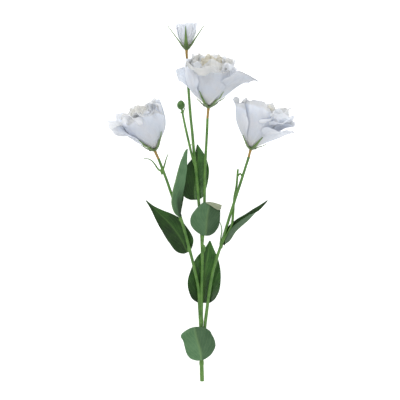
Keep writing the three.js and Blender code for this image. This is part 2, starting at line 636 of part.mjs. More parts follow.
// The amber stalk between the end of a stem and a bloom's calyx.
function pedicel(branch, bloom) {
  const end = point(branch.route[branch.route.length - 1]);
  const { foot, axis } = frameOf(bloom);
  const toward = foot.clone().addScaledVector(axis, -2).sub(end).normalize();
  const start = end.clone().addScaledVector(toward, 2 * GAP);
  const middle = foot.clone().addScaledVector(axis, -3);
  const stop = foot.clone().addScaledVector(axis, -GAP);
  const route = [start, middle, stop].map((place) => place.toArray());
  return stem({ route, radii: [PEDICEL_RADIUS, PEDICEL_RADIUS] }, 0, STEM_SIDES, 3);
}

const spray = new THREE.Group();
const green = stems(0);
const room = stems(GAP);
spray.add(meshOf("stem", green, STEM_GREEN));
for (const [name, shape] of Object.entries(LEAVES)) {
  const leaf = blade(leafSurface(shape), LEAF_GRID, LEAF_THICKNESS);
  spray.add(meshOf(name, tidy(leaf.subtract(room)), LEAF_GREEN));
}
const BRANCH_OF = { main: STEMS.middle, left: STEMS.left, right: STEMS.right, top: STEMS.back };
for (const [name, bloom] of Object.entries(BLOOMS)) {
  spray.add(meshOf(`pedicel_${name}`, pedicel(BRANCH_OF[name], bloom), AMBER));
  spray.add(meshOf(`calyx_${name}`, calyx(bloom), SEPAL_GREEN));
  spray.add(meshOf(`corolla_${name}`, corolla(bloom), WHITE));
  if (bloom.layers.length > 1) spray.add(meshOf(`heart_${name}`, heart(bloom), CREAM));
}
spray.add(meshOf("bud_green", largest(greenBud().subtract(room)), SEPAL_GREEN));

export default spray;
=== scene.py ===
"""Looks of a cut spray of white double lisianthus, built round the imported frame.

Lengths in this file are millimetres until a mesh is made. X is right, Y runs from the cut end of the stem
to the flowers, and Z is up from the surface that the spray lies on.
"""

import logging
import math
from dataclasses import dataclass, field
from enum import Enum
from typing import Callable, Optional, Sequence

import bpy
import numpy as np
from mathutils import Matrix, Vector


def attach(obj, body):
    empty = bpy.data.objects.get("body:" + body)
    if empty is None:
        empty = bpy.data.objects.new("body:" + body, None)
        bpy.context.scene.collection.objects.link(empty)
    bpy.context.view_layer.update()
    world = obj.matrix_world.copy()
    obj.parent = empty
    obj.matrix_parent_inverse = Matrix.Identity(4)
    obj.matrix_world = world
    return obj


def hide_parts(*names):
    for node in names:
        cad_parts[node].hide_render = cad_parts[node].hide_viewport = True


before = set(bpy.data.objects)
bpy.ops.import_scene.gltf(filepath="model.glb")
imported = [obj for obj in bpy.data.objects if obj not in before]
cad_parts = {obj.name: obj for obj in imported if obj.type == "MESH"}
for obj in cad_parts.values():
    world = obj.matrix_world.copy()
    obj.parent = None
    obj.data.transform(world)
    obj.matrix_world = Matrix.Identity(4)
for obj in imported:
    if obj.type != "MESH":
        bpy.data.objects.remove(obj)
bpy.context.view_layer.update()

log = logging.getLogger("lisianthus")

MM = 0.001
BODY = "root"
Array = np.ndarray
Point = tuple[float, float, float]
Route = Sequence[Point]
Surface = Callable[[Array, Array], Array]
Colour = tuple[float, float, float]

ALONG_SPRAY = (0, 1, 0)

PETAL_THICKNESS = 0.34
LEAF_THICKNESS = 0.5
SEPAL_THICKNESS = 0.55
FLOOR_CLEARANCE = 0.12
STEM_CLEARANCE = 0.9
STEM_SHOULDER = (3, 9)
LEAST_NORMAL = 1e-9


# Plain maths shared by the sub-assemblies


def unit(vector: Sequence[float]) -> Array:
    """Returns the vector at length one."""
    v = np.asarray(vector, float)
    return v / np.linalg.norm(v)


def smooth(low: float, high: float, x: Array | float) -> Array:
    """Returns a soft step from 0 at low to 1 at high."""
    t = np.clip((np.asarray(x, float) - low) / (high - low), 0, 1)
    return t * t * (3 - 2 * t)


def between(values: Sequence[float], place: Array | float) -> Array:
    """Returns a straight-line value between the entries of a list.

    Args:
        values: Entries at even places from 0 to 1.
        place: Where to read.
    """
    return np.interp(place, np.linspace(0, 1, len(values)), values)


def eased(values: Sequence[float], place: Array) -> Array:
    """Returns a value on a smooth curve through the entries of a list.

    Args:
        values: Entries at even places from 0 to 1.
        place: Where to read.
    """
    v = np.asarray(values, float)
    slope = np.gradient(v)
    t = np.clip(place, 0, 1) * (len(v) - 1)
    k = np.minimum(t.astype(int), len(v) - 2)
    f = t - k
    a = (2 * f**3 - 3 * f**2 + 1) * v[k] + (f**3 - 2 * f**2 + f) * slope[k]
    b = (3 * f**2 - 2 * f**3) * v[k + 1] + (f**3 - f**2) * slope[k + 1]
    return a + b


class Draw:
    """A small seeded generator of numbers, the same on every run."""

    STEP = 16807
    RANGE = 2147483647

    def __init__(self, seed: int) -> None:
        """Starts the generator at a seed."""
        self.state = seed

    def between(self, low: float, high: float) -> float:
        """Returns the next number between two bounds."""
        self.state = (self.state * self.STEP) % self.RANGE
        return low + (high - low) * self.state / self.RANGE


class SmoothLine:
    """A centripetal curve through points, read by its length from 0 to 1."""

    SAMPLES = 40
    SHORTEST = 1e-4
    TANGENT_STEP = 0.004

    def __init__(self, route: Route) -> None:
        """Samples the curve through the points of a route."""
        p = np.asarray(route, float)
        p = np.vstack([2 * p[0] - p[1], p, 2 * p[-1] - p[-2]])
        places = []
        for k in range(1, len(p) - 2):
            places.append(self.span(p[k - 1], p[k], p[k + 1], p[k + 2]))
        self.points = np.vstack([*places, p[-2][None]])
        steps = np.linalg.norm(np.diff(self.points, axis=0), axis=1)
        self.arc = np.concatenate([[0], np.cumsum(steps)])
        self.length = float(self.arc[-1])

    def span(self, a: Array, b: Array, c: Array, d: Array) -> Array:
        """Returns the samples of one span, from b towards c."""
        t0, t1, t2 = (max(np.linalg.norm(q - p) ** 0.5, self.SHORTEST) for p, q in ((a, b), (b, c), (c, d)))
        m1 = ((b - a) / t0 - (c - a) / (t0 + t1) + (c - b) / t1) * t1
        m2 = ((c - b) / t1 - (d - b) / (t1 + t2) + (d - c) / t2) * t1
        f = np.linspace(0, 1, self.SAMPLES, endpoint=False)[:, None]
        rise = (2 * f**3 - 3 * f**2 + 1) * b + (f**3 - 2 * f**2 + f) * m1
        return rise + (3 * f**2 - 2 * f**3) * c + (f**3 - f**2) * m2

    def at(self, place: Array | float) -> Array:
        """Returns the points at places from 0 to 1 of the length."""
        s = np.clip(np.asarray(place, float), 0, 1) * self.length
        return np.stack([np.interp(s, self.arc, self.points[:, k]) for k in range(3)], axis=-1)

    def tangent(self, place: Array | float) -> Array:
        """Returns the directions of the curve at places from 0 to 1."""
        s, step = np.asarray(place), self.TANGENT_STEP
        ahead = self.at(np.minimum(1, s + step)) - self.at(np.maximum(0, s - step))
        return ahead / np.linalg.norm(ahead, axis=-1, keepdims=True)


@dataclass(frozen=True)
class AxisFrame:
    """Directions about an axis through a foot: along it, across it where it faces up, and to the right."""

    foot: Point
    axis_towards: Point

    @property
    def axis(self) -> Array:
        """Returns the direction of the axis."""
        return unit(self.axis_towards)

    @property
    def front(self) -> Array:
        """Returns the direction across the axis that faces up."""
        return unit(np.array([0, 0, 1.0]) - self.axis * self.axis[2])

    @property
    def right(self) -> Array:
        """Returns the direction across the axis to the right of the front."""
        return np.cross(self.axis, self.front)

    def outward(self, azimuth: float) -> Array:
        """Returns the direction away from the axis at an azimuth in radians."""
        return math.cos(azimuth) * self.front + math.sin(azimuth) * self.right

    def sideways(self, azimuth: float) -> Array:
        """Returns the direction round the axis at an azimuth in radians."""
        return -math.sin(azimuth) * self.front + math.cos(azimuth) * self.right

    def place(self, radius: float, azimuth: float, height: float) -> Array:
        """Returns the point at a radius, azimuth and height."""
        return np.asarray(self.foot) + self.axis * height + self.outward(azimuth) * radius


# Meshes


def place_in_scene(name: str, data: bpy.types.ID) -> bpy.types.Object:
    """Returns a new object that shows the data, linked to the scene."""
    thing = bpy.data.objects.new(name, data)
    bpy.context.scene.collection.objects.link(thing)
    return thing


@dataclass
class MeshParts:
    """Faces gathered for one piece, with UVs by corner, tints and painted light and shade by point, and slots
    by face.
    """

    points: list[Array] = field(default_factory=list)
    faces: list[list[int]] = field(default_factory=list)
    uvs: list[tuple[float, float]] = field(default_factory=list)
    tints: list[Array] = field(default_factory=list)
    shades: list[Array] = field(default_factory=list)
    slots: list[int] = field(default_factory=list)
    rims: list[Array] = field(default_factory=list)
    count: int = 0

    def add(
        self,
        points: Array,
        faces: Sequence[Sequence[int]],
        uv: Array,
        tint: Array | float,
        slots: Sequence[int],
        shade: Array | float = 0.0,
    ) -> None:
        """Adds one closed body.

        Args:
            points: Its points, in millimetres.
            faces: Point numbers of each face, counter-clockwise from outside.
            uv: A place in the pattern for each point.
            tint: How much of the material's second colour each point has, or one number for all.
            slots: The material slot of each face.
            shade: The painted light and shade of each point, how much lighter or darker it is as a share, or
                one number for all.
        """
        for face in faces:
            self.faces.append([self.count + i for i in face])
            self.uvs.extend((float(uv[i][0]), float(uv[i][1])) for i in face)
        self.points.append(points)
        self.tints.append(np.broadcast_to(np.asarray(tint, float), (len(points),)))
        self.shades.append(np.broadcast_to(np.asarray(shade, float), (len(points),)))
        self.slots.extend(slots)
        self.count += len(points)

    def build(self, name: str, materials: Sequence[bpy.types.Material]) -> bpy.types.Object:
        """Makes the piece's object, in metres, with smooth faces.

        Args:
            name: The piece's name.
            materials: The materials of its slots.

        Returns:
            The new object, linked to the scene.
        """
        mesh = bpy.data.meshes.new(name)
        mesh.from_pydata((np.vstack(self.points) * MM).tolist(), [], self.faces)
        layer = mesh.uv_layers.new(name="UVMap")
        layer.data.foreach_set("uv", np.asarray(self.uvs, np.float32).ravel())
        for label, values in (("tint", self.tints), ("shade", self.shades)):
            layer = mesh.attributes.new(label, "FLOAT", "POINT")
            layer.data.foreach_set("value", np.concatenate(values).astype(np.float32))
        for material in materials:
            mesh.materials.append(material)
        mesh.polygons.foreach_set("material_index", np.asarray(self.slots, np.int32))
        mesh.polygons.foreach_set("use_smooth", np.ones(len(mesh.polygons), bool))
        mesh.update()
        if self.rims:
            self.sharpen(mesh)
        return place_in_scene(name, mesh)

    def sharpen(self, mesh: bpy.types.Mesh) -> None:
        """Marks the edges where the two faces of a sheet meet as sharp."""
        on_rim = np.zeros(self.count, bool)
        on_rim[np.concatenate(self.rims)] = True
        ends = np.empty(2 * len(mesh.edges), np.int32)
        mesh.edges.foreach_get("vertices", ends)
        sharp = on_rim[ends.reshape(-1, 2)].all(axis=1)
        mesh.attributes.new("sharp_edge", "BOOLEAN", "EDGE").data.foreach_set("value", sharp)


@dataclass(frozen=True)
class SheetGrid:
    """How a thin sheet is divided: quads across and along, and how far its columns crowd to the middle."""

    across: int
    along: int
    crowd: float = 1.0

    def places(self) -> tuple[Array, Array]:
        """Returns u from -1 to 1 and s from 0 to 1 on the grid."""
        line = np.linspace(-1, 1, self.across + 1)
        u = np.sign(line) * np.abs(line) ** self.crowd
        return np.meshgrid(u, np.linspace(0, 1, self.along + 1))


def add_sheet(
    parts: MeshParts,
    grid: SheetGrid,
    surface: Surface,
    thickness: float,
    tint: Callable[[Array, Array], Array],
    rest: Optional[Callable[[Array, Array], Array]] = None,
    ridge: Optional[Callable[[Array, Array], tuple[Array, Array]]] = None,
    slots: tuple[int, int] = (0, 0),
    shade: Optional[Callable[[Array, Array], Array]] = None,
) -> None:
    """Adds a thin closed sheet whose two faces meet at its rim.

    Args:
        parts: Where the sheet goes.
        grid: How it is divided.
        surface: Its middle surface over u and s.
        thickness: Its thickness in the middle.
        tint: The tint over u and s.
        rest: The height of what it rests on, over x and y.
        ridge: Extra height of the upper and the lower face over u and s.
        slots: The material slots of the upper and the lower face.
        shade: The painted light and shade over u and s, how much lighter or darker it is.
    """
    u, s = grid.places()
    middle = surface(u, s)
    if rest is not None:
        floor = rest(middle[..., 0], middle[..., 1]) + thickness / 2 + FLOOR_CLEARANCE
        middle[..., 2] = np.maximum(middle[..., 2], floor)
    across = np.gradient(middle, axis=1)
    along = np.gradient(middle, axis=0)
    normal = np.cross(across, along)
    normal /= np.maximum(np.linalg.norm(normal, axis=-1, keepdims=True), LEAST_NORMAL)
    rows, columns = u.shape
    inside = np.zeros(u.shape, bool)
    inside[1:-1, 1:-1] = True
    up, down = ridge(u, s) if ridge else (np.zeros_like(u), np.zeros_like(u))
    top = middle + normal * np.where(inside, thickness / 2 + up, 0)[..., None]
    low = middle - normal * np.where(inside, thickness / 2 + down, 0)[..., None]
    index = np.arange(rows * columns).reshape(rows, columns)
    under = index.copy()
    under[inside] = rows * columns + np.arange(int(inside.sum()))
    points = np.vstack([top.reshape(-1, 3), low[inside]])
    pattern = np.stack([(u + 1) / 2, s], axis=-1)
    uv = np.vstack([pattern.reshape(-1, 2), pattern[inside]])
    looks = [tint(u, s), shade(u, s) if shade else np.zeros_like(u)]
    upper = np.stack([index[:-1, :-1], index[:-1, 1:], index[1:, 1:], index[1:, :-1]], axis=-1)
    lower = np.stack([under[:-1, :-1], under[1:, :-1], under[1:, 1:], under[:-1, 1:]], axis=-1)
    faces = np.concatenate([upper.reshape(-1, 4), lower.reshape(-1, 4)]).tolist()
    half = len(faces) // 2
    tints, shades = (np.concatenate([look.ravel(), look[inside]]) for look in looks)
    parts.rims.append(parts.count + index[~inside])
    parts.add(points, faces, uv, tints, [slots[0]] * half + [slots[1]] * half, shades)


def add_lathe(
    parts: MeshParts, shape: AxisFrame, profile: Sequence[tuple[float, float]], sides: int, tint: float = 0.0
) -> None:
    """Adds a solid turned about an axis.

    Args:
        parts: Where it goes.
        shape: The axis and its directions.
        profile: Radius and height from the bottom to the top, on the axis at both ends.
        sides: Facets round it.
        tint: Its tint.
    """
    turn = np.arange(sides) * 2 * math.pi / sides
    points = [shape.place(0, 0, profile[0][1])[None]]
    for radius, height in profile[1:-1]:
        points.append(np.array([shape.place(radius, a, height) for a in turn]))
    points.append(shape.place(0, 0, profile[-1][1])[None])
    faces: list[list[int]] = []
    for i in range(sides):
        j = (i + 1) % sides
        faces.append([0, 1 + j, 1 + i])
        for k in range(len(profile) - 3):
            a = 1 + k * sides
            faces.append([a + i, a + j, a + sides + j, a + sides + i])
        a = 1 + (len(profile) - 3) * sides
        faces.append([a + i, a + j, a + sides])
    flat = np.vstack(points)
    parts.add(flat, faces, np.zeros((len(flat), 2)), tint, [0] * len(faces))


def egg(radius: float, half_length: float, rings: int) -> list[tuple[float, float]]:
    """Returns the profile of an egg about its middle, for add_lathe."""
    turn = np.linspace(-math.pi / 2, math.pi / 2, rings + 1)
    return [(radius * math.cos(a), half_length * math.sin(a)) for a in turn]


# Node trees


class Socket(Enum):
    """The kinds of socket that a node group takes and gives."""

    COLOUR = "NodeSocketColor"
    NUMBER = "NodeSocketFloat"
    COUNT = "NodeSocketInt"
    MATERIAL = "NodeSocketMaterial"
    SHAPE = "NodeSocketGeometry"


class NodeKit:
    """Builds one node tree: adds nodes, feeds their sockets, mixes colours and does sums."""

    def __init__(self, tree: bpy.types.NodeTree) -> None:
        """Takes the tree to build."""
        self.tree = tree
        self.source: Optional[bpy.types.Node] = None
        self.sink: Optional[bpy.types.Node] = None

    @classmethod
    def group(cls, name: str, kind: str, takes: dict[str, Socket], gives: dict[str, Socket]) -> "NodeKit":
        """Starts a node group.

        Args:
            name: The group's name.
            kind: Its type of tree.
            takes: The kind of each input.
            gives: The kind of each output.

        Returns:
            A kit for the new group.
        """
        kit = cls(bpy.data.node_groups.new(name, kind))
        for way, sockets in (("INPUT", takes), ("OUTPUT", gives)):
            for label, socket in sockets.items():
                kit.tree.interface.new_socket(label, in_out=way, socket_type=socket.value)
        kit.source, kit.sink = kit.add("NodeGroupInput"), kit.add("NodeGroupOutput")
        return kit

    def given(self, name: str) -> bpy.types.NodeSocket:
        """Returns one of the group's inputs."""
        return self.source.outputs[name]

    def give(self, name: str, value: bpy.types.NodeSocket) -> None:
        """Feeds one of the group's outputs."""
        self.feed(value, self.sink.inputs[name])

    def feed(self, value: object, socket: bpy.types.NodeSocket) -> None:
        """Sets a socket to a value, or joins another socket to it."""
        if isinstance(value, bpy.types.NodeSocket):
            self.tree.links.new(value, socket)
        else:
            socket.default_value = value

    def add(self, kind: str, inputs: Optional[dict] = None, **settings: object) -> bpy.types.Node:
        """Adds a node.

        Args:
            kind: Its type.
            inputs: What each input is set to or joined with, by name or number.
            settings: The node's own settings.

        Returns:
            The node.
        """
        node = self.tree.nodes.new(kind)
        for name, value in settings.items():
            setattr(node, name, value)
        for name, value in (inputs or {}).items():
            self.feed(value, node.inputs[name])
        return node

    def maths(self, operation: str, *values: object) -> bpy.types.NodeSocket:
        """Adds one sum and returns its value."""
        return self.add("ShaderNodeMath", dict(enumerate(values)), operation=operation).outputs["Value"]

    def mix(self, share: object, first: object, second: object) -> bpy.types.NodeSocket:
        """Mixes two colours and returns the result."""
        node = self.add("ShaderNodeMix", {"Factor": share, "A": first, "B": second}, data_type="RGBA")
        return node.outputs["Result"]

    def noise(self, place: object, scale: object, detail: float) -> bpy.types.NodeSocket:
        """Returns soft noise over a place."""
        inputs = {"Vector": place, "Scale": scale, "Detail": detail}
        return self.add("ShaderNodeTexNoise", inputs).outputs["Fac"]

    def attribute(self, name: str) -> bpy.types.NodeSocket:
        """Returns a value that the piece's mesh holds at each point."""
        return self.add("ShaderNodeAttribute", attribute_name=name).outputs["Fac"]

    def pattern_place(self) -> bpy.types.NodeSocket:
        """Returns the place on the piece's own UV map."""
        return self.add("ShaderNodeUVMap", uv_map="UVMap").outputs["UV"]

    def bump(self, height: bpy.types.NodeSocket, depth: float) -> bpy.types.NodeSocket:
        """Returns the normal of a height that is so many millimetres deep."""
        return self.add("ShaderNodeBump", {"Height": height, "Distance": depth * MM}).outputs["Normal"]


# Finishes


@dataclass(frozen=True)
class Mottle:
    """A colour with soft patches and fine grain, their sizes in millimetres, and the grain's share."""

    base: Colour
    patch: Colour
    grain: Colour
    patch_size: float = 9.0
    grain_size: float = 0.9
    amount: float = 0.5


@dataclass(frozen=True)
class PlainFinish:
    """A smooth green, amber or cream finish, darker where the piece's tint says."""

    name: str
    look: Mottle
    roughness: float
    relief: float = 0.12
    darkest: float = 0.4


@dataclass(frozen=True)
class LeafFinish:
    """One side of a leaf: blade, paler veins, how matt and glossy it is, and how far the veins stand out."""

    name: str
    look: Mottle
    vein: Colour
    roughness: float
    relief: float
    gloss: float
    vein_share: float = 0.42
    grain_relief: float = 0.3
    vein_count: float = 7.0
    vein_sweep: float = 1.1


@dataclass(frozen=True)
class PetalFinish:
    """The petal: bluish white, cream where the tint says, with fine veins, and with light passing through."""

    name: str = "petal_white"
    look: Mottle = Mottle((0.73, 0.8, 0.94), (0.8, 0.83, 0.91), (0.64, 0.73, 0.91), 12, 1.2, 0.4)
    cream: Colour = (0.82, 0.73, 0.47)
    roughness: float = 0.6
    gloss: float = 0.3
    glow: float = 0.45
    glow_depth: float = 2.5
    vein_crowding: tuple[float, float, float] = (46, 3.2, 1)
    relief: float = 0.6


LEAF_UPPER = LeafFinish(
    "leaf_upper", Mottle((0.014, 0.052, 0.008), (0.03, 0.098, 0.014), (0.009, 0.034, 0.006), amount=0.45),
    vein=(0.08, 0.18, 0.04), roughness=0.27, relief=0.07, gloss=0.3,
)
LEAF_UNDER = LeafFinish(
    "leaf_under", Mottle((0.085, 0.19, 0.085), (0.125, 0.25, 0.12), (0.065, 0.155, 0.065), amount=0.45),
    vein=(0.2, 0.34, 0.14), roughness=0.5, relief=0.1, gloss=0.25,
)
# Pale colour of a leaf's turned-over tip: painted sheen of the light that falls on it from above.
LEAF_RIM_SHEEN = PlainFinish(
    "leaf_rim_sheen", Mottle((0.34, 0.38, 0.25), (0.44, 0.47, 0.34), (0.22, 0.27, 0.15), 4, 0.7), 0.6
)
STEM_GREEN = PlainFinish(
    "stem_green", Mottle((0.08, 0.21, 0.035), (0.17, 0.36, 0.07), (0.03, 0.09, 0.012), 9, 1.1, 0.7), 0.34
)
SEPAL_GREEN = PlainFinish(
    "sepal_green", Mottle((0.12, 0.22, 0.05), (0.19, 0.32, 0.09), (0.08, 0.14, 0.03)), 0.5
)
AMBER = PlainFinish(
    "pedicel_amber", Mottle((0.4, 0.22, 0.035), (0.55, 0.36, 0.09), (0.14, 0.1, 0.02), 3, 0.8, 0.8), 0.42
)
BUD_GREEN = PlainFinish(
    "bud_green", Mottle((0.04, 0.13, 0.016), (0.08, 0.2, 0.03), (0.025, 0.08, 0.012), 4, 0.8), 0.38
)
HEART_CREAM = PlainFinish("heart_cream", Mottle((0.7, 0.6, 0.25), (0.76, 0.68, 0.36), (0.55, 0.5, 0.18)), 0.6)


class Finishes:
    """Builds the materials of the spray and the node groups that they share."""

    PATCH_SPREAD = (0.35, 0.65)
    PATCH_DETAIL = 3
    GRAIN_DETAIL = 4
    VEIN_BEND = 0.8
    VEIN_WOBBLE = 0.12
    WOBBLE_SCALE = 6
    WOBBLE_DETAIL = 2
    VEIN_EDGE = 0.1
    PETAL_VEIN_DETAIL = 3

    def __init__(self) -> None:
        """Builds the shared groups and then each material."""
        self.mottle_group = self.make_mottle_group()
        self.vein_group = self.make_vein_group()
        self.petal = self.make_petal(PetalFinish())
        self.leaf_upper = self.make_leaf(LEAF_UPPER)
        self.leaf_under = self.make_leaf(LEAF_UNDER)
        self.leaf_rim_sheen = self.make_plain(LEAF_RIM_SHEEN)
        self.stem = self.make_plain(STEM_GREEN)
        self.sepal = self.make_plain(SEPAL_GREEN)
        self.amber = self.make_plain(AMBER)
        self.bud = self.make_plain(BUD_GREEN)
        self.cream = self.make_plain(HEART_CREAM)

    def start(
        self, name: str, values: dict[str, object]
    ) -> tuple[bpy.types.Material, NodeKit, bpy.types.Node]:
        material = bpy.data.materials.new(name)
        material.use_nodes = True
        shader = material.node_tree.nodes["Principled BSDF"]
        for label, value in values.items():
            shader.inputs[label].default_value = value
        return material, NodeKit(material.node_tree), shader

    def make_mottle_group(self) -> bpy.types.NodeTree:
        """Builds the group that varies a colour in patches and grain over Object coordinates."""
        colours = {name: Socket.COLOUR for name in ("Base", "Patch", "Grain")}
        numbers = {name: Socket.NUMBER for name in ("Patch Scale", "Grain Scale", "Amount")}
        kit = NodeKit.group(
            "Mottle", "ShaderNodeTree", {**colours, **numbers},
            {"Color": Socket.COLOUR, "Height": Socket.NUMBER},
        )
        place = kit.add("ShaderNodeTexCoord").outputs["Object"]
        wide = kit.noise(place, kit.given("Patch Scale"), self.PATCH_DETAIL)
        fine = kit.noise(place, kit.given("Grain Scale"), self.GRAIN_DETAIL)
        low, high = self.PATCH_SPREAD
        spread = kit.add("ShaderNodeMapRange", {"Value": wide, "From Min": low, "From Max": high})
        patches = kit.mix(spread.outputs["Result"], kit.given("Base"), kit.given("Patch"))
        share = kit.maths("MULTIPLY", fine, kit.given("Amount"))
        kit.give("Color", kit.mix(share, patches, kit.given("Grain")))
        kit.give("Height", fine)
        return kit.tree

    def make_vein_group(self) -> bpy.types.NodeTree:
        """Builds the group that draws branching veins over a blade's UV map."""
        kit = NodeKit.group(
            "Veins", "ShaderNodeTree", {"Count": Socket.NUMBER, "Sweep": Socket.NUMBER},
            {"Mask": Socket.NUMBER},
        )
        place = kit.pattern_place()
        split = kit.add("ShaderNodeSeparateXYZ", {"Vector": place}).outputs
        off = kit.maths("ABSOLUTE", kit.maths("SUBTRACT", split["X"], 0.5))
        swept = kit.maths("MULTIPLY", kit.maths("POWER", off, self.VEIN_BEND), kit.given("Sweep"))
        run = kit.maths("SUBTRACT", split["Y"], swept)
        wobble = kit.noise(place, self.WOBBLE_SCALE, self.WOBBLE_DETAIL)
        bent = kit.maths("ADD", run, kit.maths("MULTIPLY", wobble, self.VEIN_WOBBLE))
        comb = kit.maths("FRACT", kit.maths("MULTIPLY", bent, kit.given("Count")))
        tooth = kit.maths("ABSOLUTE", kit.maths("SUBTRACT", comb, 0.5))
        line = kit.add("ShaderNodeMapRange", {"Value": tooth, "From Min": self.VEIN_EDGE, "From Max": 0.0})
        kit.give("Mask", line.outputs["Result"])
        return kit.tree

    def mottle(self, kit: NodeKit, look: Mottle) -> bpy.types.Node:
        """Places the mottle group in a material with its own colours and sizes, and returns the node."""
        inputs = {
            "Base": (*look.base, 1),
            "Patch": (*look.patch, 1),
            "Grain": (*look.grain, 1),
            "Patch Scale": 1 / (look.patch_size * MM),
            "Grain Scale": 1 / (look.grain_size * MM),
            "Amount": look.amount,
        }
        return kit.add("ShaderNodeGroup", inputs, node_tree=self.mottle_group)

    def shade(self, kit: NodeKit, shader: bpy.types.Node, colour: bpy.types.NodeSocket) -> None:
        """Feeds a colour into the shader, lighter or darker by the painted light and shade that the piece's
        mesh holds.
        """
        gain = kit.maths("ADD", kit.attribute("shade"), 1)
        scaled = kit.add("ShaderNodeVectorMath", {0: colour, "Scale": gain}, operation="SCALE")
        kit.feed(scaled.outputs["Vector"], shader.inputs["Base Color"])

    def make_plain(self, finish: PlainFinish) -> bpy.types.Material:
        """Builds the material of a smooth green, amber or cream piece."""
        material, kit, shader = self.start(finish.name, {"Roughness": finish.roughness})
        mottle = self.mottle(kit, finish.look)
        dark = (*(finish.darkest * channel for channel in finish.look.grain), 1)
        kit.feed(kit.mix(kit.attribute("tint"), mottle.outputs["Color"], dark), shader.inputs["Base Color"])
        kit.feed(kit.bump(mottle.outputs["Height"], finish.relief), shader.inputs["Normal"])
        return material

    def make_leaf(self, finish: LeafFinish) -> bpy.types.Material:
        """Builds the material of one side of a leaf, with its midrib where the tint says, and veins."""
        material, kit, shader = self.start(
            finish.name, {"Roughness": finish.roughness, "Specular IOR Level": finish.gloss}
        )
        mottle = self.mottle(kit, finish.look)
        counts = {"Count": finish.vein_count, "Sweep": finish.vein_sweep}
        veins = kit.add("ShaderNodeGroup", counts, node_tree=self.vein_group).outputs["Mask"]
        share = kit.maths("MULTIPLY_ADD", veins, finish.vein_share, kit.attribute("tint"))
        self.shade(kit, shader, kit.mix(share, mottle.outputs["Color"], (*finish.vein, 1)))
        height = kit.maths("MULTIPLY_ADD", mottle.outputs["Height"], finish.grain_relief, veins)
        kit.feed(kit.bump(height, finish.relief), shader.inputs["Normal"])
        return material

    def make_petal(self, finish: PetalFinish) -> bpy.types.Material:
        """Builds the material of the petals."""
        material, kit, shader = self.start(finish.name, {
            "Roughness": finish.roughness,
            "Specular IOR Level": finish.gloss,
            "Subsurface Weight": finish.glow,
            "Subsurface Radius": (1, 1, 1),
            "Subsurface Scale": finish.glow_depth * MM,
        })
        mottle = self.mottle(kit, finish.look)
        self.shade(kit, shader, kit.mix(kit.attribute("tint"), mottle.outputs["Color"], (*finish.cream, 1)))
        inputs = {"Vector": kit.pattern_place(), "Scale": finish.vein_crowding}
        stretch = kit.add("ShaderNodeMapping", inputs).outputs["Vector"]
        veins = kit.noise(stretch, 1, self.PETAL_VEIN_DETAIL)
        kit.feed(kit.bump(veins, finish.relief), shader.inputs["Normal"])
        return material

    def make_floor(self) -> bpy.types.Material:
        """Builds the plain white floor."""
        return self.start("floor_white", {
            "Base Color": (0.8, 0.8, 0.8, 1), "Roughness": 1,
            "Emission Color": (1, 1, 1, 1), "Emission Strength": 0.8,
        })[0]


# Stems


@dataclass(frozen=True)
class Branch:
    """A tapering stem: points of its centre line, its radius at each end, and how much its far end swells."""

    route: Route
    radii: tuple[float, float]
    swell: float = 0.0


STEMS: dict[str, Branch] = {
    "stalk": Branch(
        ((1.6, -180.4, 2.1), (1.3, -169.5, 2.5), (1, -159.5, 3.5), (0.7, -142.5, 5.5), (0.6, -122.5, 7)),
        (2.1, 2),
    ),
    "left": Branch(
        (
            (0.6, -132, 6.3), (-0.9, -107.5, 7), (-1.9, -87.5, 7), (-5.9, -67.5, 8), (-9.1, -54.5, 9),
            (-14.5, -34, 10.5), (-19.9, -15.5, 12), (-22.8, -8, 12.6), (-28.4, 6.4, 13.6),
            (-34, 22.7, 15.6), (-41.9, 43.6, 19),
        ),
        (1.7, 1.35),
    ),
    "back": Branch(
        (
            (0.9, -132, 6.3), (1, -99.5, 7), (1.9, -59.5, 8), (1.1, -32.5, 8), (-1.7, -0.5, 8),
            (-3.7, 24.5, 7.6), (-6.2, 46.5, 7), (-8.2, 69.5, 6.2), (-10, 86.5, 4.6), (-11.4, 103.9, 3),
            (-12.6, 122.5, 2.3), (-13.2, 133, 2.6), (-13.6, 144, 7),
        ),
        (1.75, 1.3),
    ),
    "middle": Branch(
        (
            (1.6, -44, 8.2), (2.9, -25.5, 9), (3.8, -7.5, 9.5), (4.3, 20.5, 9.3), (4.5, 35, 9.2),
            (5.5, 52.5, 9.6), (6.7, 75.5, 11), (7, 84.6, 12),
        ),
        (1.5, 1.35),
    ),
    "right": Branch(
        (
            (1.2, -146, 5), (3.2, -134, 6), (5.8, -113, 7.4), (8.3, -93.9, 8), (11.6, -73.7, 8.6),
            (14.8, -61, 9.2), (20.9, -41.8, 10.4), (24.1, -31.5, 11.4), (28.2, -17.5, 13),
            (34.5, 2.5, 14.6), (41, 22.5, 16.6), (48.3, 45.5, 18.2),
        ),
        (1.7, 1.35),
    ),
    "side": Branch(
        (
            (21.2, -42, 10.8), (26, -33.5, 12.2), (29, -28, 12.8), (31.4, -22.5, 13), (32.8, -10.5, 12.4),
            (34, 5.5, 11.8), (36, 15.5, 12.4), (37.5, 33.4, 15),
        ),
        (1.35, 1.1),
    ),
    "bud": Branch(
        (
            (-5.9, 38, 7), (-9.4, 50.5, 8.4), (-11.4, 59.1, 9), (-15.7, 78.1, 8.6), (-18.2, 90.5, 7.4),
            (-18.7, 93.6, 7.2),
        ),
        (1.3, 1.1),
    ),
}

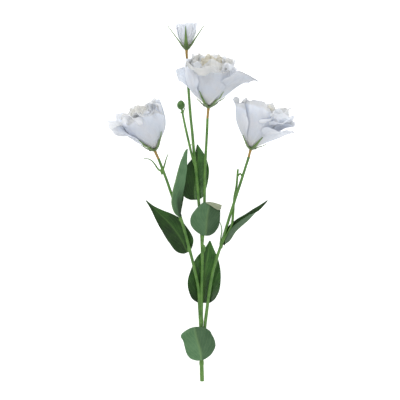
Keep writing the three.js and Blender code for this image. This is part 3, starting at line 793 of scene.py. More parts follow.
BRACTS: dict[str, Branch] = {
    "left_low": Branch(
        (
            (-38.9, 31, 17), (-42.5, 33.5, 18), (-45.5, 38, 18.6), (-49, 42, 18), (-52.5, 43.7, 17),
            (-57.2, 43.9, 16),
        ),
        (1, 0.35),
    ),
    "left_high": Branch(
        ((-37.8, 32, 16.8), (-36, 37.5, 18), (-34, 44.5, 19.4), (-32.2, 48.7, 20)), (1, 0.35)
    ),
    "bud_left": Branch(((-18.2, 90, 7.4), (-20.5, 91.1, 7.8)), (0.8, 0.35)),
    "bud_right": Branch(((-18, 89, 7.4), (-15.7, 95.3, 8.6)), (0.8, 0.35)),
    "tendril": Branch(
        ((20.1, -41, 11), (20.5, -34.6, 12.6), (21.4, -29, 13.6), (20.8, -23.4, 13.2), (19.4, -19.9, 12)),
        (0.8, 0.35),
    ),
    "thorn": Branch(((-10.6, 56.5, 8.8), (-9.2, 58.5, 10.6)), (0.7, 0.3)),
    "web": Branch(((37, 26, 13.4), (40, 29, 15.6), (41.8, 25.6, 17.4)), (0.9, 0.8)),
}

JOINTS: tuple[tuple[Point, float], ...] = (
    ((1.3, -173, 2.6), 2.3), ((1.1, -161.8, 3.2), 2.5), ((0.7, -120, 7), 2.5), ((3.4, -46.5, 8.2), 1.8),
    ((20.9, -41.8, 10.4), 2.1), ((-38.6, 31.6, 17), 1.7), ((-20.3, -15, 12), 1.8), ((-11.8, -46, 9.6), 1.8),
)


class TubeTool:
    """Makes tubes along routes with one Geometry Nodes tree."""

    SIDES = 16
    STEP = 1.6
    LEAST_STEPS = 4
    UNEVENNESS = 0.03
    UNEVEN_WAVES = 0.23
    SWELL_FROM = 0.6

    def __init__(self) -> None:
        """Builds the tree: a round profile carried along each curve at the curve's radius."""
        kit = NodeKit.group(
            "TubeAlongRoute", "GeometryNodeTree",
            {"Geometry": Socket.SHAPE, "Sides": Socket.COUNT, "Finish": Socket.MATERIAL},
            {"Geometry": Socket.SHAPE},
        )
        circle = kit.add("GeometryNodeCurvePrimitiveCircle", {"Resolution": kit.given("Sides"), "Radius": 1})
        radius = kit.add("GeometryNodeInputRadius")
        sweep = kit.add("GeometryNodeCurveToMesh", {
            "Curve": kit.given("Geometry"), "Profile Curve": circle.outputs["Curve"],
            "Scale": radius.outputs["Radius"], "Fill Caps": True,
        })
        shade = kit.add("GeometryNodeSetShadeSmooth", {"Geometry": sweep.outputs["Mesh"]})
        whole = kit.add("GeometryNodeRealizeInstances", {"Geometry": shade.outputs["Geometry"]})
        finish = kit.add("GeometryNodeSetMaterial", {
            "Geometry": whole.outputs["Geometry"], "Material": kit.given("Finish"),
        })
        kit.give("Geometry", finish.outputs["Geometry"])
        self.tree = kit.tree

    def make(
        self, name: str, branches: Sequence[Branch], finish: bpy.types.Material, sides: int = SIDES
    ) -> bpy.types.Object:
        """Makes one mesh of tubes.

        Args:
            name: The new object's name.
            branches: The routes and radii.
            finish: The tubes' material.
            sides: Facets round each tube.

        Returns:
            A plain mesh object in metres, at the origin.
        """
        curve = bpy.data.curves.new(name + "_route", "CURVE")
        curve.dimensions = "3D"
        for branch in branches:
            line = SmoothLine(branch.route)
            count = max(self.LEAST_STEPS, round(line.length / self.STEP))
            along = np.linspace(0, 1, count + 1)
            places = line.at(along)
            uneven = self.UNEVENNESS * np.sin(along * line.length * self.UNEVEN_WAVES)
            radius = branch.radii[0] + (branch.radii[1] - branch.radii[0]) * along
            radius = radius * (1 + uneven + branch.swell * smooth(self.SWELL_FROM, 1, along))
            spline = curve.splines.new("POLY")
            spline.points.add(count)
            for k, point in enumerate(spline.points):
                point.co = (*(places[k] * MM), 1)
                point.radius = float(radius[k] * MM)
        holder = place_in_scene(name + "_route", curve)
        tool = holder.modifiers.new("tube", "NODES")
        tool.node_group = self.tree
        items = self.tree.interface.items_tree
        sockets = {item.name: item.identifier for item in items if item.in_out == "INPUT"}
        tool[sockets["Sides"]] = sides
        tool[sockets["Finish"]] = finish
        graph = bpy.context.evaluated_depsgraph_get()
        mesh = bpy.data.meshes.new_from_object(holder.evaluated_get(graph), depsgraph=graph)
        bpy.data.objects.remove(holder)
        mesh.name = name
        return place_in_scene(name, mesh)


def join(name: str, pieces: Sequence[bpy.types.Object]) -> bpy.types.Object:
    """Joins mesh objects at the origin into one, and returns it."""
    first = pieces[0]
    with bpy.context.temp_override(active_object=first, object=first, selected_editable_objects=list(pieces)):
        bpy.ops.object.join()
    first.name = first.data.name = name
    return first


@dataclass
class StemWork:
    """The branched green stem with its joints, bracts and tendril."""

    tubes: TubeTool
    finish: bpy.types.Material
    knob_width: float = 0.94
    knob_length: float = 2.3
    knob_sides: int = 20
    knob_rings: int = 12

    def build(self) -> bpy.types.Object:
        """Builds the stem as one piece and returns it."""
        green = self.tubes.make("green_stem", [*STEMS.values(), *BRACTS.values()], self.finish)
        parts = MeshParts()
        for centre, radius in JOINTS:
            profile = egg(self.knob_width * radius, self.knob_length * radius, self.knob_rings)
            add_lathe(parts, AxisFrame(centre, ALONG_SPRAY), profile, self.knob_sides)
        knobs = parts.build("green_stem_joints", [self.finish])
        return join("green_stem", [green, knobs])


# Blooms


FULL_ROLL = 150
ROLL_DONE = 0.9
FLARE_FROM = 20
FLARE_RANGE = 70
# Painted light and shade on the petals, as shares: a slight overall lift, painted shade low in the cup,
# painted shade on a rim that turns over to face the light, and painted shade on a petal that flares out.
OPEN_SHADE = 0.06
CUP_SHADE = 0.1
LIP_SHADE = 0.34
FLARE_SHADE = 0.18
FOOT_CREAM = 0.25
LIP_CREAM = 0.3

LEAN_SHIFT = (-1.5, 1.5)
AZIMUTH_SHIFT = (-4, 4)
LENGTH_SPREAD = (0.95, 1.05)
WIDTH_SPREAD = (0.94, 1.06)


@dataclass(frozen=True)
class Petal:
    """One petal.

    It has an azimuth, a length, a width, leans from foot to tip, the tilt and curl of its edges, the turn,
    start and wave of its rolled rim, and the twist of its free end.
    """

    at: float
    long: float
    wide: float
    lean: tuple[float, ...]
    tilt: float = 0.12
    curl: float = 0.06
    roll: float = 40.0
    roll_from: float = 0.86
    wave: float = 0.045
    twist: float = 0.0

    def lip(self, s: Array) -> Array:
        """Returns how much each place belongs to a rim that is turned over."""
        return min(1, self.roll / FULL_ROLL) * smooth(self.roll_from, ROLL_DONE, s)

    def shade(self, s: Array) -> Array:
        """Returns the painted light and shade on the petal: a slight lift, with painted shade low in the cup
        and where it turns over or flares.
        """
        flare = max(0, self.lean[-1] - FLARE_FROM) / FLARE_RANGE
        return (
            OPEN_SHADE
            - CUP_SHADE * smooth(0.75, 0.2, s)
            - LIP_SHADE * self.lip(s)
            - FLARE_SHADE * flare * smooth(0.3, 0.7, s)
        )

    def cream(self, s: Array, warmth: float) -> Array:
        """Returns how creamy the petal is: most low down, and a little on a rim that is turned over."""
        blade = warmth * (1 - 0.5 * smooth(0.6, 1, s))
        return blade + FOOT_CREAM * smooth(0.35, 0, s) + LIP_CREAM * self.lip(s)

    def lean_at(self, place: Array) -> Array:
        """Returns the lean of the midline away from the axis, in radians."""
        return np.radians(between(self.lean, place) + self.roll * smooth(self.roll_from, 1, place))


def ring(
    count: int,
    first: float,
    long: float,
    wide: float,
    lean: Sequence[float],
    seed: int,
    roll: float = 30,
    wave: float = 0.06,
) -> list[Petal]:
    """Returns a ring of like petals, each a little different by a seeded draw.

    Args:
        count: How many petals.
        first: Azimuth of the first, in degrees.
        long: Their length.
        wide: Their width.
        lean: Their leans from foot to tip.
        seed: Where the draw starts.
        roll: The turn of their rims.
        wave: The wave of their rims.
    """
    draw = Draw(seed)
    petals = []
    for i in range(count):
        shift = draw.between(*LEAN_SHIFT)
        azimuth = first + i * 360 / count + draw.between(*AZIMUTH_SHIFT)
        length = long * draw.between(*LENGTH_SPREAD)
        width = wide * draw.between(*WIDTH_SPREAD)
        leans = tuple(angle + k * shift / 3 for k, angle in enumerate(lean))
        petals.append(Petal(azimuth, length, width, leans, roll=roll, wave=wave))
    return petals


@dataclass(frozen=True)
class Bloom:
    """A bloom.

    It has the foot of its calyx, its axis, layers of petals from outside in, sepals by azimuth, length and
    lean, small petals that fill it between the layers, how creamy it is, and how much painted light lifts its
    inner petals out of their shade.
    """

    foot: Point
    axis: Point
    layers: tuple[tuple[Petal, ...], ...]
    sepals: tuple[tuple[float, float, float], ...]
    fill: tuple[Petal, ...] = ()
    warmth: float = 1.0
    # Painted light that lifts the inner layers and the fill out of their shade.
    glow: float = 0.0

    @property
    def open(self) -> bool:
        """Returns whether the bloom is open, with more than one layer."""
        return len(self.layers) > 1

    @property
    def shape(self) -> AxisFrame:
        """Returns the bloom's directions."""
        return AxisFrame(self.foot, self.axis)


BLOOMS: dict[str, Bloom] = {
    "main": Bloom(
        (7.9, 94.7, 12.6), (0.07, 0.965, 0.25),
        (
            (
                Petal(
                    -14, 61.5, 56, (50, 43, 27, 6, -3, 4), 0.05,
                    curl=0, roll=172, roll_from=0.64, wave=0.05,
                ),
                Petal(
                    76, 56, 46, (50, 47, 42, 50, 80, 106), 0.25,
                    curl=0.03, roll=30, roll_from=0.85, wave=0.08, twist=0.1,
                ),
                Petal(-112, 48, 15, (56, 52, 36, 24, 66, 104), 0.1, curl=0, roll=20, wave=0.09, twist=0.9),
                Petal(146, 53, 44, (50, 46, 32, 12, -2, -6), 0.08, roll=40),
                Petal(-84, 54, 46, (52, 48, 38, 10, 0, -24), -0.06, curl=0, roll=0),
            ),
            tuple(ring(5, 12, 51.5, 38, (42, 38, 24, 8, -4, -20), 17, roll=50)),
            (
                *ring(4, 75, 49, 29, (30, 24, 12, 0, -8, -16), 29, wave=0.04),
                *ring(4, 20, 49, 28, (24, 20, 10, 0, -8, -14), 83, roll=40, wave=0.04),
            ),
        ),
        ((-28, 27, 0), (40, 26, 0), (110, 18, 0), (182, 15, 0), (-100, 11, 0)),
        (
            Petal(50, 52, 40, (48, 44, 33, 14, 2, -4), 0.08, roll=50, wave=0.07),
            Petal(-54, 51, 38, (46, 42, 30, 12, 0, -8), 0.05, roll=50, wave=0.07),
            Petal(178, 53, 46, (48, 44, 30, 10, -2, -8), 0.05, roll=40, wave=0.05),
            Petal(66, 49, 36, (46, 44, 37, 24, 8, 0), 0.08, roll=50, wave=0.07),
            Petal(-128, 54, 44, (46, 42, 30, 14, 4, 0), 0.05, roll=40, wave=0.05),
            Petal(112, 53, 42, (46, 44, 32, 12, 2, -2), 0.05, roll=40, wave=0.05),
        ),
    ),
    "left": Bloom(
        (-45.5, 51.5, 18.6), (-0.35, 0.915, 0.2),
        (
            (
                Petal(4, 49, 48, (46, 44, 32, 16, 6, 8), 0.1, curl=0, roll=110, roll_from=0.82, wave=0.06),
                Petal(78, 50, 42, (46, 46, 30, 8, -2, -4), 0.1, curl=0, roll=0, wave=0.03),
                Petal(-60, 47, 17, (46, 44, 32, 26, 60, 98), 0.1, curl=0, roll=30, wave=0.09, twist=0.8),
                Petal(150, 46, 42, (46, 42, 30, 18, 10, 20), 0.1, roll=60, wave=0.05),
                Petal(-132, 49, 36, (44, 40, 32, 22, 20, 28), 0.05, roll=50, wave=0.07),
            ),
            (
                *ring(5, 44, 47, 36, (40, 38, 26, 12, 4, 4), 41, roll=60),
                Petal(-76, 52, 13, (42, 38, 34, 38, 42, 40), 0, roll=10, wave=0.09, twist=1.2),
            ),
            (
                *ring(4, 80, 44, 28, (32, 28, 14, 2, -8, -6), 53, wave=0.04),
                *ring(4, 10, 46, 28, (24, 20, 10, 0, -6, -10), 87, roll=40, wave=0.04),
            ),
        ),
        ((-34, 24, 0), (40, 24, 0), (122, 20, 0), (186, 20, 0), (-104, 12, 0)),
        (
            Petal(44, 49, 40, (44, 42, 30, 14, 4, 0), 0.08, roll=50, wave=0.07),
            Petal(-30, 49, 38, (44, 42, 30, 18, 14, 16), 0.05, roll=60, wave=0.07),
            Petal(110, 50, 38, (46, 44, 30, 8, -2, -6), 0.05, roll=40, wave=0.06),
        ),
        warmth=0.6, glow=0.08,
    ),
    "right": Bloom(
        (50.1, 52.7, 18.8), (0.255, 0.955, 0.15),
        (
            (
                Petal(-16, 56, 48, (46, 42, 28, 12, 4, 0), 0.04, curl=0, roll=90, roll_from=0.84, wave=0.04),
                Petal(66, 43, 42, (48, 50, 50, 54, 66, 84), 0.2, curl=0.03, roll=30, wave=0.08),
                Petal(100, 47, 46, (46, 44, 38, 40, 46, 58), 0.1, curl=0.03, roll=30, wave=0.07),
                Petal(-160, 48, 44, (46, 42, 28, 16, 12, 24), 0.1, roll=60, wave=0.05),
                Petal(-74, 52, 44, (48, 44, 34, 20, 12, 8), 0.04, curl=0, roll=80, roll_from=0.84, wave=0.07),
            ),
            (
                *ring(5, 20, 49, 34, (40, 37, 24, 12, 8, 8), 61, roll=60),
                Petal(130, 56, 38, (44, 42, 34, 26, 26, 40), wave=0.06),
            ),
            (
                *ring(4, 24, 44, 28, (32, 28, 14, 0, -8, -6), 73, wave=0.04),
                *ring(4, 30, 46, 28, (24, 20, 10, 2, -4, -8), 89, roll=40, wave=0.04),
            ),
        ),
        ((-46, 18, 0), (26, 22, 0), (98, 14, 0), (172, 20, 0), (-128, 14, 0)),
        (
            Petal(40, 51, 40, (46, 42, 31, 20, 14, 12), 0.08, roll=50, wave=0.08),
            Petal(84, 50, 46, (46, 44, 38, 35, 38, 46), 0.12, roll=30, wave=0.07),
            Petal(58, 51, 44, (46, 43, 35, 29, 26, 30), 0.1, roll=40, wave=0.07),
        ),
        warmth=0.8, glow=0.04,
    ),
    "top": Bloom(
        (-14, 153.1, 10.6), (0, 0.998, 0.06),
        (
            (
                Petal(20, 25, 20, (34, 29, 18, 8, 2, 4), roll=20),
                Petal(92, 25.5, 18, (34, 29, 18, 10, 6, 8), roll=20),
                Petal(164, 24.5, 19, (34, 29, 18, 8, 4, 6), roll=20),
                Petal(-124, 25, 18, (34, 29, 18, 10, 6, 6), roll=20),
                Petal(-52, 24.5, 19, (34, 29, 18, 8, 2, 2), roll=20),
            ),
        ),
        ((-64, 30, 40), (-4, 25, 6), (62, 29, 38), (140, 26, 24), (-146, 26, 24)),
        tuple(ring(6, 0, 24, 17, (28, 22, 13, 6, 2, 2), 97, roll=15)),
    ),
}


@dataclass(frozen=True)
class Crepe:
    """How a petal's blade is worked.

    It has a claw, a place where it is widest, a rounded and scalloped tip, ruffles and finer frills along
    its rim, and creases along its length. Crease depths are in millimetres, the frill is a share of the
    ruffle, the other sizes are shares of the petal, and waves are counted in radians.
    """

    claw: float = 0.1
    widest: float = 0.72
    shoulder: float = 1.25
    tip_narrowing: float = 0.22
    tip_round: float = 0.2
    scallop: float = 0.022
    wide_scallops: float = 7.3
    fine_scallops: float = 15.1
    ruffles: float = 9.0
    ruffle_drift: float = 2.2
    ruffle_growth: float = 1.4
    frill: float = 0.3
    frill_waves: float = 2.3
    frill_from: float = 0.72
    creases: float = 17.0
    crease_depth: float = 0.24
    fine_crease_depth: float = 0.15
    fine_crease_waves: float = 2.3

    def half_width(self, wide: float, s: Array) -> Array:
        """Returns a petal's half width along its length: a narrow claw, a wide blade and a rounded top."""
        opened = np.sin(math.pi / 2 * np.minimum(1, s / self.widest)) ** self.shoulder
        past = np.maximum(0, (s - self.widest) / (1 - self.widest))
        return wide / 2 * (self.claw + (1 - self.claw) * opened) * (1 - self.tip_narrowing * past**2)

    def place(self, petal: Petal, u: Array, s: Array) -> Array:
        """Returns how far along the midline each point lies, with a rounded and scalloped tip."""
        wide = np.sin(self.wide_scallops * u + 2.1 * petal.at)
        fine = np.sin(self.fine_scallops * u + petal.at)
        waves = 0.6 * wide + 0.4 * fine
        return s * (1 - self.tip_round * u * u * s + self.scallop * (waves - 1) * smooth(0.5, 1, s))

    def lift(self, petal: Petal, u: Array, s: Array, width: Array, phase: Array) -> Array:
        """Returns how far each point lies off the plain petal.

        Args:
            petal: The petal.
            u: Places across, from -1 to 1.
            s: Places along, from 0 to 1.
            width: The half width at each place.
            phase: Where each place is in the ruffles.
        """
        curl = petal.curl * width * np.abs(u) ** 3 * smooth(0.3, 1, s)
        frill = self.frill * np.sin(self.frill_waves * phase + 1.3 * petal.at + 5 * s)
        ruffle = np.sin(phase + self.ruffle_drift * s) + frill * smooth(self.frill_from, 1, s)
        grown = petal.wave * petal.wide * smooth(0.5, 1, s) ** self.ruffle_growth
        fold = self.creases * u + 3 * np.sin(4 * s + petal.at)
        fine = self.fine_crease_depth * np.sin(self.fine_crease_waves * fold + 9 * s)
        crease = (self.crease_depth * np.sin(fold) + fine) * smooth(0.15, 0.5, s)
        slant = petal.tilt + petal.twist * smooth(0.4, 0.95, s)
        return curl + grown * ruffle + crease + slant * u * width


# Radius and height of the heart's ovary with its style, and of a stamen's thread.
OVARY = (
    (0, 0), (1.2, 0), (1.7, 1), (1.9, 2), (1.8, 3.2), (1.4, 4.4), (0.8, 5.4), (0.6, 6), (0.5, 11), (0, 11),
)
THREAD = ((1, 2), (2.6, 5.5), (3.2, 8))


@dataclass
class BloomWork:
    """Builds one bloom: corolla, calyx, heart and flower stalk."""

    name: str
    bloom: Bloom
    finishes: Finishes
    tubes: TubeTool
    branch: Branch
    crepe: Crepe = Crepe()
    petal_grid: SheetGrid = SheetGrid(42, 40)
    sepal_grid: SheetGrid = SheetGrid(8, 30)
    layer_radii: tuple[float, ...] = (3.9, 3.0, 2.1)
    # Cream tint and painted light of each layer, outside in, then of the fill; and of the bud. The painted
    # light lifts petals that lie in shade inside the cup.
    layer_looks: tuple[tuple[float, float], ...] = ((0.1, 0.0), (0.55, 0.04), (1.1, 0.04), (0.25, 0.26))
    bud_look: tuple[float, float] = (0.12, 0.3)
    bud_radius: float = 2.7
    fill_radius: float = 2.0
    midline_steps: int = 120
    petal_looseness: float = 1.08
    petal_flattening: float = 0.8
    petal_stack: float = 0.9
    receptacle: float = 2.2
    receptacle_share: float = 0.75
    receptacle_end: float = 0.8
    receptacle_tint: float = 0.3
    receptacle_sides: int = 24
    calyx_height: float = 3.0
    calyx_foot: float = 1.3
    calyx_tint: float = 0.5
    calyx_sides: int = 32
    calyx_rings: int = 8
    sepal_start: float = 0.55
    sepal_pieces: int = 8
    sepal_tries: int = 3
    sepal_rise: tuple[float, float] = (1.4, 2.0)
    sepal_width: float = 5.4
    sepal_taper: float = 0.88
    sepal_fit: float = 0.9
    sepal_keel: float = 0.45
    reach_aside: float = 3.0
    reach_along: float = 1.4
    gap: float = 0.3
    ovary_sides: int = 20
    stamens: int = 5
    stigma_radius: float = 1.4
    stigma_apart: float = 0.8
    stigma_turn: float = 0.6
    stigma_height: float = 11.2
    anther_height: float = 8.4
    anther_radius: float = 0.8
    anther_half_length: float = 1.7
    thread_radii: tuple[float, float] = (0.4, 0.3)
    thread_sides: int = 8
    grain_sides: int = 12
    grain_rings: int = 8
    stalk_radii: tuple[float, float] = (1.25, 1.2)
    stalk_swell: float = 0.25
    stalk_overlap: float = 0.4
    stalk_aim: float = 2.0
    stalk_straight: float = 3.0
    stalk_inset: float = 0.3

    @property
    def calyx_radius(self) -> float:
        """Returns the radius of the calyx cup, which is smaller under the opening bud."""
        return 4.6 if self.bloom.open else 3.7

    def petal_surface(self, petal: Petal, foot_radius: float) -> Surface:
        """Returns the surface of a petal over u and s.

        Args:
            petal: The petal.
            foot_radius: How far its foot stands from the bloom's axis.

        Returns:
            A function from grids of u and s to points.
        """
        shape, crepe, steps = self.bloom.shape, self.crepe, self.midline_steps
        azimuth = math.radians(petal.at)
        out, side = shape.outward(azimuth), shape.sideways(azimuth)
        lean = petal.lean_at((np.arange(steps) + 0.5) / steps)
        length = petal.long * (1 + crepe.scallop)
        radius_at = foot_radius + np.concatenate([[0], np.cumsum(np.sin(lean) * length / steps)])
        low = self.calyx_height + self.receptacle / 2
        height_at = low + np.concatenate([[0], np.cumsum(np.cos(lean) * length / steps)])

        def surface(u: Array, s: Array) -> Array:
            """Returns the points of the petal's middle surface."""
            place = crepe.place(petal, u, s)
            upright, tilt = np.radians(between(petal.lean, place)), petal.lean_at(place)
            radius, height = between(radius_at, place), between(height_at, place)
            width = crepe.half_width(petal.wide, s)
            bend = self.petal_looseness * radius / np.maximum(np.cos(tilt), self.petal_flattening) + 0.5
            turn = u * width / bend
            phase = crepe.ruffles * (azimuth + turn * np.cos(upright)) + foot_radius
            lift = crepe.lift(petal, u, s, width, phase)
            normal = np.cos(tilt)[..., None] * out - np.sin(tilt)[..., None] * shape.axis
            inward = np.sin(upright)[..., None] * shape.axis - np.cos(upright)[..., None] * out
            return (
                np.asarray(self.bloom.foot)
                + shape.axis * height[..., None]
                + out * radius[..., None]
                + side * (bend * np.sin(turn))[..., None]
                + normal * lift[..., None]
                + inward * (bend * (1 - np.cos(turn)))[..., None]
            )

        return surface

    def petals(self) -> list[tuple[int, Petal, Surface]]:
        """Returns each petal with its layer and surface, from the outer layer in."""
        radii = self.layer_radii if self.bloom.open else (self.bud_radius,)
        found = []
        for k, layer in enumerate(self.bloom.layers):
            found.extend((k, petal, self.petal_surface(petal, radii[k])) for petal in layer)
        found.extend((-1, petal, self.petal_surface(petal, self.fill_radius)) for petal in self.bloom.fill)
        return found

    def corolla(self) -> bpy.types.Object:
        """Builds the white corolla: petals in their layers on a small receptacle."""
        parts = MeshParts()
        low = self.calyx_height + self.gap
        high = low + self.receptacle
        wide = self.receptacle_share * self.calyx_radius
        end = self.receptacle_end * wide
        profile = [(0, low), (end, low), (wide, (low + high) / 2), (end, high), (0, high)]
        add_lathe(parts, self.bloom.shape, profile, self.receptacle_sides, self.receptacle_tint)
        for i, (layer, petal, surface) in enumerate(self.petals()):
            below = self.petal_stack * (i % 3 + 3 * (i // 5))
            warm, glow = self.layer_looks[layer] if self.bloom.open else self.bud_look
            # glow is painted light, added to each petal's painted shade; the bloom's own painted light goes
            # to the inner layers and the fill.
            warm, glow = warm * self.bloom.warmth, glow + (self.bloom.glow if layer else 0)
            add_sheet(
                parts, self.petal_grid, surface, PETAL_THICKNESS,
                tint=lambda u, s, petal=petal, warm=warm: petal.cream(s, warm),
                rest=lambda x, y, below=below: rest_height(x, y) + below,
                shade=lambda u, s, petal=petal, glow=glow: petal.shade(s) + glow,
            )
        return parts.build("petals_" + self.name, [self.finishes.petal])

    def reach(self) -> Callable[[float, float], float]:
        """Returns how far the petals reach from the axis near an azimuth, at each height."""
        shape = self.bloom.shape
        u, s = np.meshgrid(np.arange(-1, 1.01, 0.1), np.arange(0, 1.01, 0.04))
        places = np.vstack([surface(u, s).reshape(-1, 3) for _, _, surface in self.petals()])
        places = places - np.asarray(self.bloom.foot)
        height, f, r = places @ shape.axis, places @ shape.front, places @ shape.right
        radius, azimuth = np.hypot(f, r), np.arctan2(r, f)

        def most(at: float, level: float) -> float:
            """Returns the largest radius near one azimuth and height."""
            off = np.abs(np.arctan2(np.sin(azimuth - at), np.cos(azimuth - at)))
            near = (off * radius < self.reach_aside) & (np.abs(height - level) < self.reach_along)
            return max(self.calyx_radius - self.sepal_fit, float(radius[near].max()) if near.any() else 0.0)

        return most

    def sepal_surface(
        self, reach: Callable[[float, float], float], sepal: tuple[float, float, float]
    ) -> Surface:
        """Returns the surface of a sepal that follows the outside of the corolla.

        Args:
            reach: How far the petals reach at an azimuth and height.
            sepal: Azimuth, length and free lean.

        Returns:
            A function from grids of u and s to points.
        """
        shape = self.bloom.shape
        at, long, lean = sepal
        azimuth = math.radians(at)
        out, side = shape.outward(azimuth), shape.sideways(azimuth)
        start = self.sepal_start * np.array([self.calyx_radius, self.calyx_height])

        def clear(level: float) -> float:
            """Returns the least radius at a height."""
            free = start[0] + math.tan(math.radians(lean)) * (level - start[1])
            return max(reach(azimuth, level) + self.sepal_fit, free)

        places = [start]
        step = long / self.sepal_pieces
        for _ in range(self.sepal_pieces):
            last = places[-1]
            ahead = last + unit(self.sepal_rise) * step
            for _ in range(self.sepal_tries):
                ahead[0] = clear(ahead[1])
                ahead = last + unit(ahead - last) * step
            ahead[0] = max(ahead[0], clear(ahead[1]))
            places.append(ahead)
        line = SmoothLine([(p[0], p[1], 0) for p in places])

        def surface(u: Array, s: Array) -> Array:
            """Returns the points of the sepal's middle surface."""
            place = line.at(s)
            width = self.sepal_width / 2 * (1 - self.sepal_taper * s**0.8)
            keel = self.sepal_keel * (1 - u * u) * (1 - s)
            return (
                np.asarray(self.bloom.foot)
                + shape.axis * place[..., 1:2]
                + out * (place[..., 0:1] + keel[..., None])
                + side * (u * width)[..., None]
            )

        return surface

    def calyx(self) -> bpy.types.Object:
        """Builds the green calyx: a short cup with five sepals."""
        parts = MeshParts()
        wide, tall = self.calyx_radius, self.calyx_height
        turn = np.linspace(0, 1, self.calyx_rings + 1)
        foot = self.calyx_foot
        wall = [(foot + (wide - foot) * math.sin(math.pi / 2 * t) ** 1.1, tall * t**1.2) for t in turn]
        profile = [(0, 0), *wall, (0, tall)]
        add_lathe(parts, self.bloom.shape, profile, self.calyx_sides, self.calyx_tint)
        reach = self.reach()
        for sepal in self.bloom.sepals:
            add_sheet(
                parts, self.sepal_grid, self.sepal_surface(reach, sepal), SEPAL_THICKNESS,
                tint=lambda u, s: 0.55 * smooth(0.4, 0, s) + 0.35 * np.exp(-((u / 0.3) ** 2)) * (1 - s),
                rest=lambda x, y: 0 * x,
            )
        return parts.build("sepals_" + self.name, [self.finishes.sepal])

    def heart(self) -> bpy.types.Object:
        """Builds the heart: ovary, style with a two-lobed stigma, and five stamens."""
        shape = self.bloom.shape
        low = self.calyx_height + 2 * self.gap + self.receptacle
        parts = MeshParts()
        add_lathe(parts, shape, [(radius, low + height) for radius, height in OVARY], self.ovary_sides)
        for azimuth in (self.stigma_turn, self.stigma_turn + math.pi):
            lobe = shape.place(self.stigma_apart, azimuth, low + self.stigma_height)
            self.add_grain(parts, lobe, self.stigma_radius, self.stigma_radius)
        threads = []
        for k in range(self.stamens):
            azimuth = k * 2 * math.pi / self.stamens
            route = [tuple(shape.place(radius, azimuth, low + height)) for radius, height in THREAD]
            threads.append(Branch(route, self.thread_radii))
            anther = shape.place(THREAD[-1][0], azimuth, low + self.anther_height)
            self.add_grain(parts, anther, self.anther_radius, self.anther_half_length)
        cream = self.finishes.cream
        grains = parts.build("heart_grains_" + self.name, [cream])
        tubes = self.tubes.make("heart_threads_" + self.name, threads, cream, self.thread_sides)
        return join("stamens_" + self.name, [grains, tubes])

    def add_grain(self, parts: MeshParts, centre: Array, radius: float, half_length: float) -> None:
        """Adds a small egg along the bloom's axis, as an anther or a lobe of the stigma."""
        shape = AxisFrame(tuple(centre), self.bloom.axis)
        add_lathe(parts, shape, egg(radius, half_length, self.grain_rings), self.grain_sides)

    def pedicel(self) -> bpy.types.Object:
        """Builds the amber stalk between the end of the stem and the calyx."""
        end = np.asarray(self.branch.route[-1], float)
        foot = np.asarray(self.bloom.foot)
        axis = self.bloom.shape.axis
        toward = unit(foot - self.stalk_aim * axis - end)
        start = end - self.stalk_overlap * toward
        route = [start, foot - self.stalk_straight * axis, foot + self.stalk_inset * axis]
        stalk = Branch([tuple(place) for place in route], self.stalk_radii, self.stalk_swell)
        return self.tubes.make("flower_stalk_" + self.name, [stalk], self.finishes.amber)


def rest_height(x: Array, y: Array) -> Array:
    """Returns the height of what the blooms rest on: the surface, and the stem under the main bloom.

    Args:
        x: Places to the right.
        y: Places along the spray.

    Returns:
        The height at each place.
    """
    stem = STEMS["back"]
    route = np.asarray(stem.route)
    line = np.interp(y, route[:, 1], route[:, 0])
    top = np.interp(y, route[:, 1], route[:, 2]) + stem.radii[0] + STEM_CLEARANCE
    inside = (y > route[0, 1]) & (y < route[-1, 1])
    return np.where(inside, top * (1 - smooth(*STEM_SHOULDER, np.abs(x - line))), 0)


# Leaves


class LeafSide(Enum):
    """The side of a leaf that its surface's own normal points from."""

    UPPER = "dark and glossy"
    UNDER = "light and matt"


@dataclass(frozen=True)
class Leaf:
    """A leaf.

    It has a midrib, half widths of each side from base to tip, fold and cup of each side, wave, the side
    that it shows, the painted light and shade on its left and right halves, base and tip, any rim that
    turns over, by its two edges, and how dark the painted shade on the right rim near the base is.
    """

    midrib: Route
    left: tuple[float, ...]
    right: tuple[float, ...]
    fold: tuple[float, float]
    cup: tuple[float, float]
    wave: float
    shows: LeafSide
    halves: tuple[float, float]
    ends: tuple[float, float]
    flaps: tuple[tuple[Route, Route], ...] = ()
    painted_rim_shade: float = 0.0

    def shade(self, u: Array, s: Array) -> Array:
        """Returns the painted light and shade on the leaf at each place: lighter or darker halves, base and
        tip, less the painted shade on the right rim near the base.
        """
        half = self.halves[0] + (self.halves[1] - self.halves[0]) * smooth(-0.12, 0.12, u)
        rim = self.painted_rim_shade * smooth(0.35, 0.7, u) * smooth(0.65, 0.3, s)
        return half + self.ends[0] + (self.ends[1] - self.ends[0]) * smooth(0, 1, s) - rim


